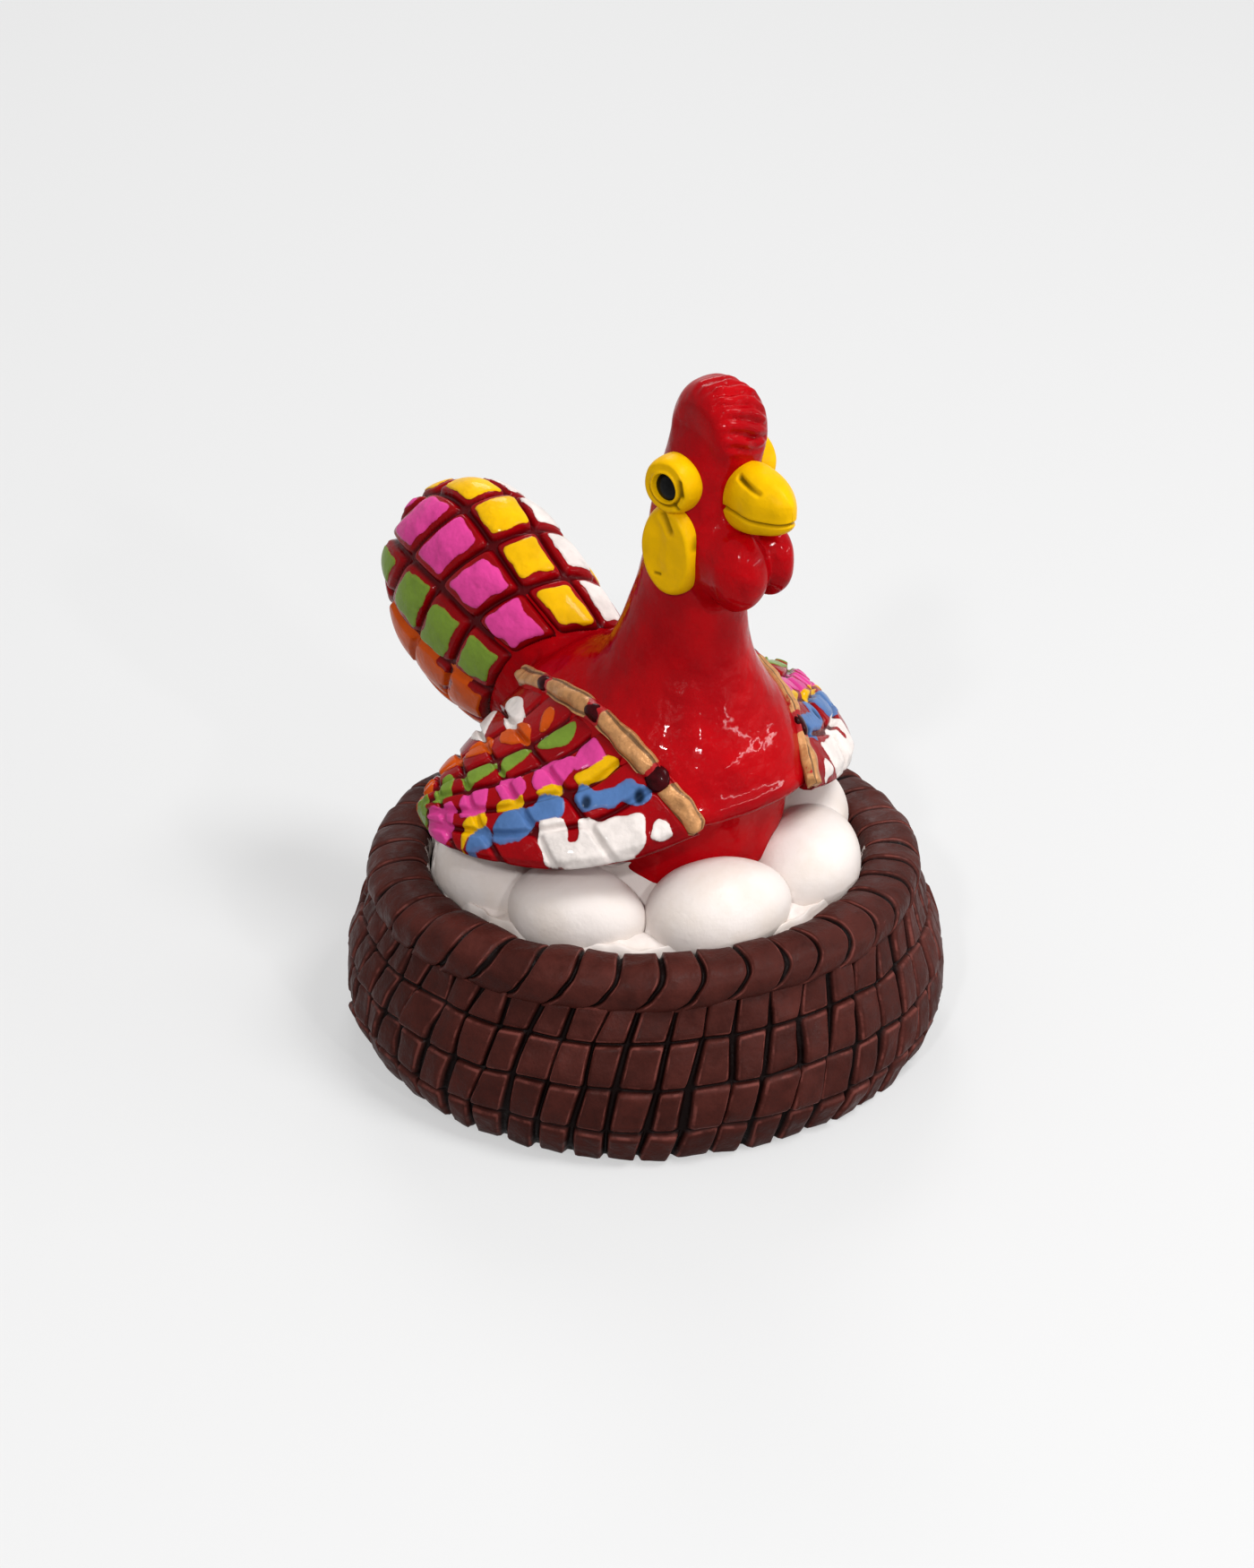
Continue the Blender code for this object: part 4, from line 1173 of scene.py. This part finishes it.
def wing_lines(values, lines):
    """Which interval between the lines each value is in, and how far through it."""
    lines = np.asarray(lines)
    number = np.clip(np.searchsorted(lines, values, side="right") - 1, 0, len(lines) - 2)
    low, high = lines[number], lines[number + 1]
    return number, np.clip((values - low) / (high - low), 0, 1), high - low


def wing(body, side, label, finish):
    """A domed sheet of painted blocks. Each row of points runs over its top and back under it."""
    u, v = np.linspace(0, 0.985, 230), np.linspace(0, 1, 190)
    front, back = through(WING_FRONT, u), through(WING_BACK, u)
    flat = (front[:, None] + (back - front)[:, None] * v[None, :, None]) * MM
    dome = body.wing_dome * np.sin(np.pi * v)[None] ** 0.75 * (1 - 0.62 * u)[:, None]
    top = flat + np.array((-0.45, -0.1, 1.0)) * dome[..., None]
    seed = 40 if side > 0 else 60
    shift_u, shift_v = (wobble(top, 9 * MM, seed + n) * 0.010 for n in (0, 1))
    bent = u[:, None] + shift_u - 0.02 * np.sin(np.pi * v)[None]
    column, across, column_width = wing_lines(bent, WING_COLUMN_LINES)
    row, along, row_height = wing_lines(v[None] + shift_v, WING_ROW_LINES)
    block_width = column_width * 31 * MM
    block_height = row_height * (np.linalg.norm(back - front, axis=1)[:, None] * MM * 1.12)
    edge, crown = blocks(across, along, block_width, block_height, body.groove)
    random = np.random.default_rng(seed)
    uneven = random.uniform(0.75, 1.15, (len(WING_COLUMN_LINES), len(WING_ROW_LINES)))[column, row]
    nudge = random.uniform(-0.25, 0.25, (len(WING_DABS), 2)) if side < 0 else np.zeros((len(WING_DABS), 2))
    small = np.minimum(1.0, np.minimum(block_height, block_width) / (2.2 * MM))
    height = body.relief * 0.85 * (edge + 0.25 * edge * crown) * uneven * small
    dab, paints, pit = wing_dabs(top, nudge, seed)
    height += coated(body, dab) - 0.3 * MM * pit
    rim = ease(np.minimum(v, 1 - v), 0.0, 0.03)[None]
    up = np.array((0, 0, 1.0))
    top = top + normal_to(*np.gradient(top, axis=(0, 1)), up) * (height * (0.35 + 0.65 * rim))[..., None]
    w = np.linspace(1, 0, 26)[None, :, None]
    under = (flat[:, -1:] * w + flat[:, :1] * (1 - w)) * np.array((0.96, 1.0, 1.0))
    under = under - up * (0.25 + 1.7 * np.sin(np.pi * w) ** 0.5) * MM
    pad = np.ones((len(u), w.size))
    shade = np.where(paints == PAINT_NAMES.index("white"), 1.0, 0.82) * (1 - 0.85 * pit)
    tints = tinted(paints) * shade[..., None], tinted(np.zeros(pad.shape, int))
    fields = {"dab": (dab, -2 * MM * pad), "carved": (edge, pad), "tint": tints}
    attributes = {key: np.concatenate(pair, axis=1) for key, pair in fields.items()}
    points = np.concatenate((top, under), axis=1)
    dress(tube(f"wing_{label}", mirrored(points, side), attributes), finish)


class HEN_OT_wings(bpy.types.Operator):
    """Make both wings of painted feather blocks"""

    bl_idname = "hen.wings"
    bl_label = "Wings"

    def execute(self, context):
        for side, label in SIDES:
            wing(context.scene.hen_body, side, label, bpy.data.materials["hen_painted_feathers"])
        return {"FINISHED"}


def band_frame(t):
    """Points of the band's path with the ways outwards and across, for the right wing."""
    path = through(BAND, t) * MM
    out = path * np.array((1.0, 0.35, 0.0)) + np.array((0, 0, 5.0)) * MM
    out /= np.linalg.norm(out, axis=1, keepdims=True)
    across = np.cross(np.gradient(path, axis=0), out)
    across /= np.linalg.norm(across, axis=1, keepdims=True)
    return path, out, across


def band(t, course, to_stone, side):
    """A band's ribbed skin, how far each point is inside its gold, and the hollows between its ribs."""
    path, out, across = (part[:, None] for part in course)
    a = round_steps(60)
    width = (0.92 + 0.35 * t + 0.1 * np.sin(t * 23 + side) + 0.06 * np.sin(t * 61)) * MM
    width = (width * ease(t, -0.03, 0.02) * ease(t, 1.03, 0.97))[:, None]
    wide = rounded(np.cos(a), 3.2)[None] * width
    twist = 0.9 * np.sin(t * 11 + side)[:, None] + 0.5 * np.sin(t * 27)[:, None]
    ribs = np.cos(a[None] * 4 + twist) * (np.sin(a) > 0)
    tall = rounded(np.sin(a), 3.2)[None] * 0.62 * MM + ribs * 0.17 * MM
    tall = tall * (0.82 + 0.18 * ease(to_stone, -0.3 * MM, 0.5 * MM))[:, None]
    points = path + across * wide[..., None] + out * tall[..., None]
    points += out * (wobble(points, 2.2 * MM, 71 + side) * 0.10 * MM)[..., None]
    dab = to_stone[:, None] + wobble(points, 1.5 * MM, 75 + side) * 0.15 * MM
    dab = np.minimum(dab, width - np.abs(wide) + 0.12 * MM)
    # 'hollow' places painted shade between the ribs.
    return points, {"dab": dab, "hollow": ease(ribs, -0.35, -0.95) * (np.sin(a) > 0)}


def stone(number, place, out, across):
    """A flattened stone, whose long way runs along the band."""
    _, half_length, half_width, _ = STONES[number]
    ways = np.stack((np.cross(out, across), across, out))
    points = unit_ball(30, 60) * (half_length * MM, half_width * MM, 0.62 * MM) @ ways
    points += wobble(points, 1.5 * MM, 90 + number)[..., None] * 0.05 * MM
    return points + place + out * 0.22 * MM


# Where the stones are along a band, their half length and half width (mm), and half the bare gap round them
STONES = ((0.166, 1.15, 0.8, 0.85), (0.4, 1.25, 0.85, 0.95), (0.712, 1.3, 1.25, 1.15))


class HEN_OT_bands(bpy.types.Operator):
    """Make the gold bands along the wings, each set with three dark stones"""

    bl_idname = "hen.bands"
    bl_label = "Bands"

    def execute(self, context):
        gold, garnet = gold_material(), glassy_material("stone_garnet", "garnet")
        t = np.linspace(0, 1, 220)
        path, out, across = band_frame(t)
        along = np.concatenate(([0], np.cumsum(np.linalg.norm(np.diff(path, axis=0), axis=1))))
        gaps = [np.abs(along - np.interp(share, t, along)) - gap * MM for share, _, _, gap in STONES]
        for side, label in SIDES:
            points, attributes = band(t, (path, out, across), np.min(gaps, axis=0), side)
            dress(tube(f"band_{label}", mirrored(points, side), attributes), gold)
            for number, row in enumerate(STONES):
                i = int(row[0] * (len(t) - 1))
                points = stone(number, path[i], out[i], across[i])
                dress(tube(f"stone_{label}_{number + 1}", mirrored(points, side)), garnet)
        return {"FINISHED"}


def disc(name, centre, half_width, half_height, stand, side, shape):
    """A raised oval on the side of the head. shape gives the extra height and the hollow over it."""
    r, a = slowing(0.01, 0.86, 1.0, 60, 26)[:, None], round_steps(110)
    y, z = r * np.cos(a) * half_width, r * np.sin(a) * half_height
    extra, hollow = shape(y, z, r + 0 * a)
    edge = np.sqrt(np.clip(1 - ((r - 0.8) / 0.2).clip(0) ** 2, 0, 1))
    face = np.stack((-stand * (0.25 + 0.75 * edge) - extra, y, z), axis=-1)
    skirt = np.stack((0 * y[-1] + 0.8 * MM, y[-1] * 0.97, z[-1] * 0.97), axis=-1)[None]
    x, y, z = np.moveaxis(np.concatenate((face, skirt)), -1, 0)
    cos, sin = math.cos(DISC_TURN), math.sin(DISC_TURN)
    points = np.stack((x * cos - y * sin, x * sin + y * cos, z), axis=-1) + centre
    points[..., 0] += wobble(points, 3 * MM, 81) * 0.06 * MM
    hollow = np.concatenate((hollow, np.zeros((1, len(a)))))
    return tube(name, mirrored(points, side), {"hollow": hollow})


def dent(y, z, from_yz, to_yz, width):
    """One along a line between two places on a disc, falling to nought a width away."""
    a, b = np.array(from_yz) * MM, np.array(to_yz) * MM
    along = np.clip(((y - a[0]) * (b - a)[0] + (z - a[1]) * (b - a)[1]) / ((b - a) ** 2).sum(), 0, 1)
    distance = np.hypot(y - a[0] - along * (b - a)[0], z - a[1] - along * (b - a)[1])
    return ease(distance, width * MM, 0.0)


def eye_shape(y, z, r):
    """The extra height and the hollow over an eye's disc, which is sunk where the pupil sits."""
    ring_groove = np.exp(-(((r - 0.63) / 0.05) ** 2)) * ease(z, 0.3 * MM, -0.8 * MM)
    socket = ease(r, 0.5, 0.42)
    lip = np.exp(-(((r - 0.53) / 0.06) ** 2))
    nick = dent(y, z, (-1.75, 0.9), (-1.95, -0.3), 0.45)
    fleck = dent(y, z, (-1.2, -1.5), (-1.5, -1.75), 0.4)
    depth = -0.22 * ring_groove - 0.6 * socket + 0.16 * lip - 0.3 * nick - 0.2 * fleck
    # The second value places painted shade in the ring groove, nick and fleck.
    return depth * MM, np.clip(0.9 * ring_groove + 0.9 * nick + 0.8 * fleck, 0, 1)


def lobe_shape(y, z, r):
    """The extra height and the hollow over an ear lobe."""
    notch = dent(y, z, (0.3, 3.6), (-0.5, 2.2), 0.7)
    side = dent(y, z, (-2.95, 2.0), (-3.05, 0.9), 0.35)
    nick = dent(y, z, (1.2, -2.4), (0.6, -2.4), 0.28)
    trough = dent(y, z, (0.8, 2.0), (0.9, -1.8), 1.2)
    depth = -0.42 * notch - 0.2 * side - 0.15 * nick - 0.18 * trough
    # The second value places painted shade in the notch, side dent and nick.
    return depth * MM, np.clip(0.7 * notch + 0.7 * side + 0.8 * nick, 0, 1)


def beak(face, finish):
    """The beak, parted by a mouth line and marked by a nostril slit on each side."""
    s, a = slowing(0, 0.84, 1.0, 70, 36), round_steps(160)
    blunt = np.sqrt(np.maximum(1 - s**5, 0.0009))
    half_width = profile((1.5, 1.95, 2.45, 2.6, 2.35, 1.9), s) * MM * blunt
    top = profile((63.4, 64.1, 64.55, 64.4, 63.8, 62.9), s) * MM
    bottom = profile((57.9, 57.8, 57.9, 58.2, 58.7, 59.3), s) * MM
    tall = (top - bottom) / 2 * (0.45 + 0.55 * np.sqrt(np.maximum(1 - s**10, 0)))
    y = BEAK_SUNK - 13.8 * MM - s * (face.beak + BEAK_SUNK)
    ridge = 1 - 0.16 * np.clip(np.sin(a), 0, 1) ** 2
    x = half_width[:, None] * (rounded(np.cos(a), 2.5) * ridge)[None]
    z = (top + bottom)[:, None] / 2 + tall[:, None] * rounded(np.sin(a), np.where(a > np.pi, 3.3, 2.15))
    points = np.stack((x, y[:, None] + 0 * a, z), axis=-1)
    mouth = 60.1 * MM + 0.3 * MM * np.sin(np.pi * s * 1.6)[:, None]
    mouth = mouth + (0.5 * s[:, None] * MM - np.abs(x) * 0.12)
    line = ease(np.abs(z - mouth), 0.3 * MM, 0.0)
    reach = ease(points[..., 1], -18.6 * MM, -15.6 * MM)
    slit = dent(points[..., 1], points[..., 2], (-15.2, 63.7), (-18.1, 62.9), 0.4) * (0.45 + 0.55 * reach)
    slit = slit * ease(np.abs(x), 0.7 * MM, 1.3 * MM)
    points = lift(points, -0.34 * MM * line - 0.5 * MM * slit, points.mean(axis=(0, 1)))
    points += wobble(points, 3.5 * MM, 83)[..., None] * 0.07 * MM
    # Where painted shade darkens the mouth line and nostril slit.
    hollow = np.clip(np.maximum(line * 0.8, slit), 0, 1)
    dress(tube("beak", points, {"hollow": hollow}), finish)


class HEN_OT_face(bpy.types.Operator):
    """Make the eyes, ear lobes and beak"""

    bl_idname = "hen.face"
    bl_label = "Face"

    def execute(self, context):
        face = context.scene.hen_face
        yellow = thick_paint("face_yellow", "yellow", streak=0.86)
        black = glassy_material("pupil_black", "black")
        radius, width, height = face.eye_radius, face.lobe_width, face.lobe_height
        eye = np.array((-3.7 * MM, -9.5 * MM, face.eye_height))
        lobe = eye + np.array((0, 0.35 * MM, -radius - height * 0.85))
        pupil = eye / MM + (-1.8, -0.25, -0.1)
        for side, label in SIDES:
            dress(disc(f"eye_{label}", eye, radius, radius, 2.4 * MM, side, eye_shape), yellow)
            dress(disc(f"ear_lobe_{label}", lobe, width, height, 2.0 * MM, side, lobe_shape), yellow)
            dress(ellipsoid(f"pupil_{label}", mirrored(pupil, side), (0.62, 1.55, 1.35), 24, 40), black)
        beak(face, yellow)
        return {"FINISHED"}


# The lamps: place, power in watts, width and height
LAMPS = {
    "key": ((0.12, -0.25, 0.55), 2.3, 0.18, 0.18),
    "window": ((-0.41, -0.30, 0.38), 1.05, 0.034, 0.034),
    "front_window": ((-0.10, -0.52, 0.30), 0.5, 0.024, 0.024),
    "low_window": ((0.30, -0.40, 0.13), 0.85, 0.4, 0.014),
    "back": ((0.3, 0.4, 0.45), 1.2, 0.2, 0.2),
}
LAMPS_AIM = (0, 0, 0.035)

# The camera, as solved from the photograph
CAMERA_AZIMUTH = math.radians(-40)
CAMERA_ELEVATION = math.radians(27.2)
CAMERA_DISTANCE = 0.38
CAMERA_LENS = 88.57
CAMERA_RIGHT, CAMERA_UP = -1.7 * MM, 25.67 * MM


def look(made, place, way):
    """Puts a lamp or the camera at a place and turns it to look a way."""
    made.location = place
    made.rotation_mode = "QUATERNION"
    made.rotation_quaternion = way.to_track_quat("-Z", "Y")


def lamp(name, place, energy, width, height):
    light = bpy.data.lights.new(name, "AREA")
    light.energy = energy
    light.shape = "RECTANGLE"
    light.size = width
    light.size_y = height
    look(new_object(name, light), place, Vector(LAMPS_AIM) - Vector(place))


def pale_floor():
    """A floor that shows evenly pale and gives off no light of its own."""
    pale, tree, shader = material("stage_pale")
    fill(tree, shader, base_color=(0.32, 0.32, 0.32), roughness=0.9, emission_color=(1, 1, 1))
    fill(tree, shader, emission_strength=tree.math("MULTIPLY", tree.seen(), 0.44), specular_ior_level=0.0)
    mesh = bpy.data.meshes.new("floor")
    reach = 3.0
    corners = [(x * reach, y * reach, 0) for x, y in ((-1, -1), (1, -1), (1, 1), (-1, 1))]
    mesh.from_pydata(corners, [], [(0, 1, 2, 3)])
    mesh.materials.append(pale)
    floor = new_object("floor", mesh)


def studio_world():
    """A pale grey world that shows lighter than it shines."""
    world = bpy.data.worlds.new("studio")
    world.use_nodes = True
    tree = Tree(world.node_tree)
    background = world.node_tree.nodes["Background"].inputs
    tree.put(background["Color"], (0.875, 0.875, 0.875))
    tree.put(background["Strength"], tree.math("MULTIPLY_ADD", tree.seen(), 0.45, 0.55))
    return world


def photo_camera():
    """The camera at the photograph's place."""
    side = Vector((math.cos(CAMERA_AZIMUTH), math.sin(CAMERA_AZIMUTH), 0))
    back = Vector((side.y, -side.x, 0))
    away = back * math.cos(CAMERA_ELEVATION) + Vector((0, 0, math.sin(CAMERA_ELEVATION)))
    target = side * CAMERA_RIGHT + Vector((0, 0, CAMERA_UP))
    camera = new_object("camera", bpy.data.cameras.new("camera"))
    look(camera, target + away * CAMERA_DISTANCE, -away)
    camera.data.lens = CAMERA_LENS
    camera.data.clip_start = 0.01
    camera.data.clip_end = 20.0
    return camera


class HEN_OT_stage(bpy.types.Operator):
    """Make the pale floor, the soft light and the camera"""

    bl_idname = "hen.stage"
    bl_label = "Stage"

    def execute(self, context):
        scene = context.scene
        pale_floor()
        scene.world = studio_world()
        for name, sizes in LAMPS.items():
            lamp(name, *sizes)
        scene.camera = photo_camera()
        scene.view_settings.view_transform = "Standard"
        return {"FINISHED"}


GROUPS = (
    ("hen_paints", HenPaints),
    ("hen_nest", HenNest),
    ("hen_eggs", HenEggs),
    ("hen_body", HenBody),
    ("hen_face", HenFace),
)
STEPS = ("nest", "eggs", "body", "tail", "wings", "bands", "face", "stage")


class HEN_PT_panel(bpy.types.Panel):
    """Lists the sizes and colours, and a button for each piece"""

    bl_idname = "HEN_PT_panel"
    bl_label = "Hen figurine"
    bl_space_type = "VIEW_3D"
    bl_region_type = "UI"
    bl_category = "Hen figurine"

    def draw(self, context):
        for step in STEPS:
            self.layout.operator(f"hen.{step}")
        for name, group in GROUPS:
            box = self.layout.box()
            box.label(text=group.__name__)
            for field in group.__annotations__:
                box.prop(getattr(context.scene, name), field)


CLASSES = (
    *(group for _, group in GROUPS),
    HEN_OT_nest,
    HEN_OT_eggs,
    HEN_OT_body,
    HEN_OT_tail,
    HEN_OT_wings,
    HEN_OT_bands,
    HEN_OT_face,
    HEN_OT_stage,
    HEN_PT_panel,
)


def register():
    for cls in CLASSES:
        bpy.utils.register_class(cls)
    for name, group in GROUPS:
        setattr(bpy.types.Scene, name, PointerProperty(type=group))


def unregister():
    for name, _ in GROUPS:
        delattr(bpy.types.Scene, name)
    for cls in reversed(CLASSES):
        bpy.utils.unregister_class(cls)


def main():
    register()
    for step in STEPS:
        getattr(bpy.ops.hen, step)()


if __name__ == "__main__":
    main()
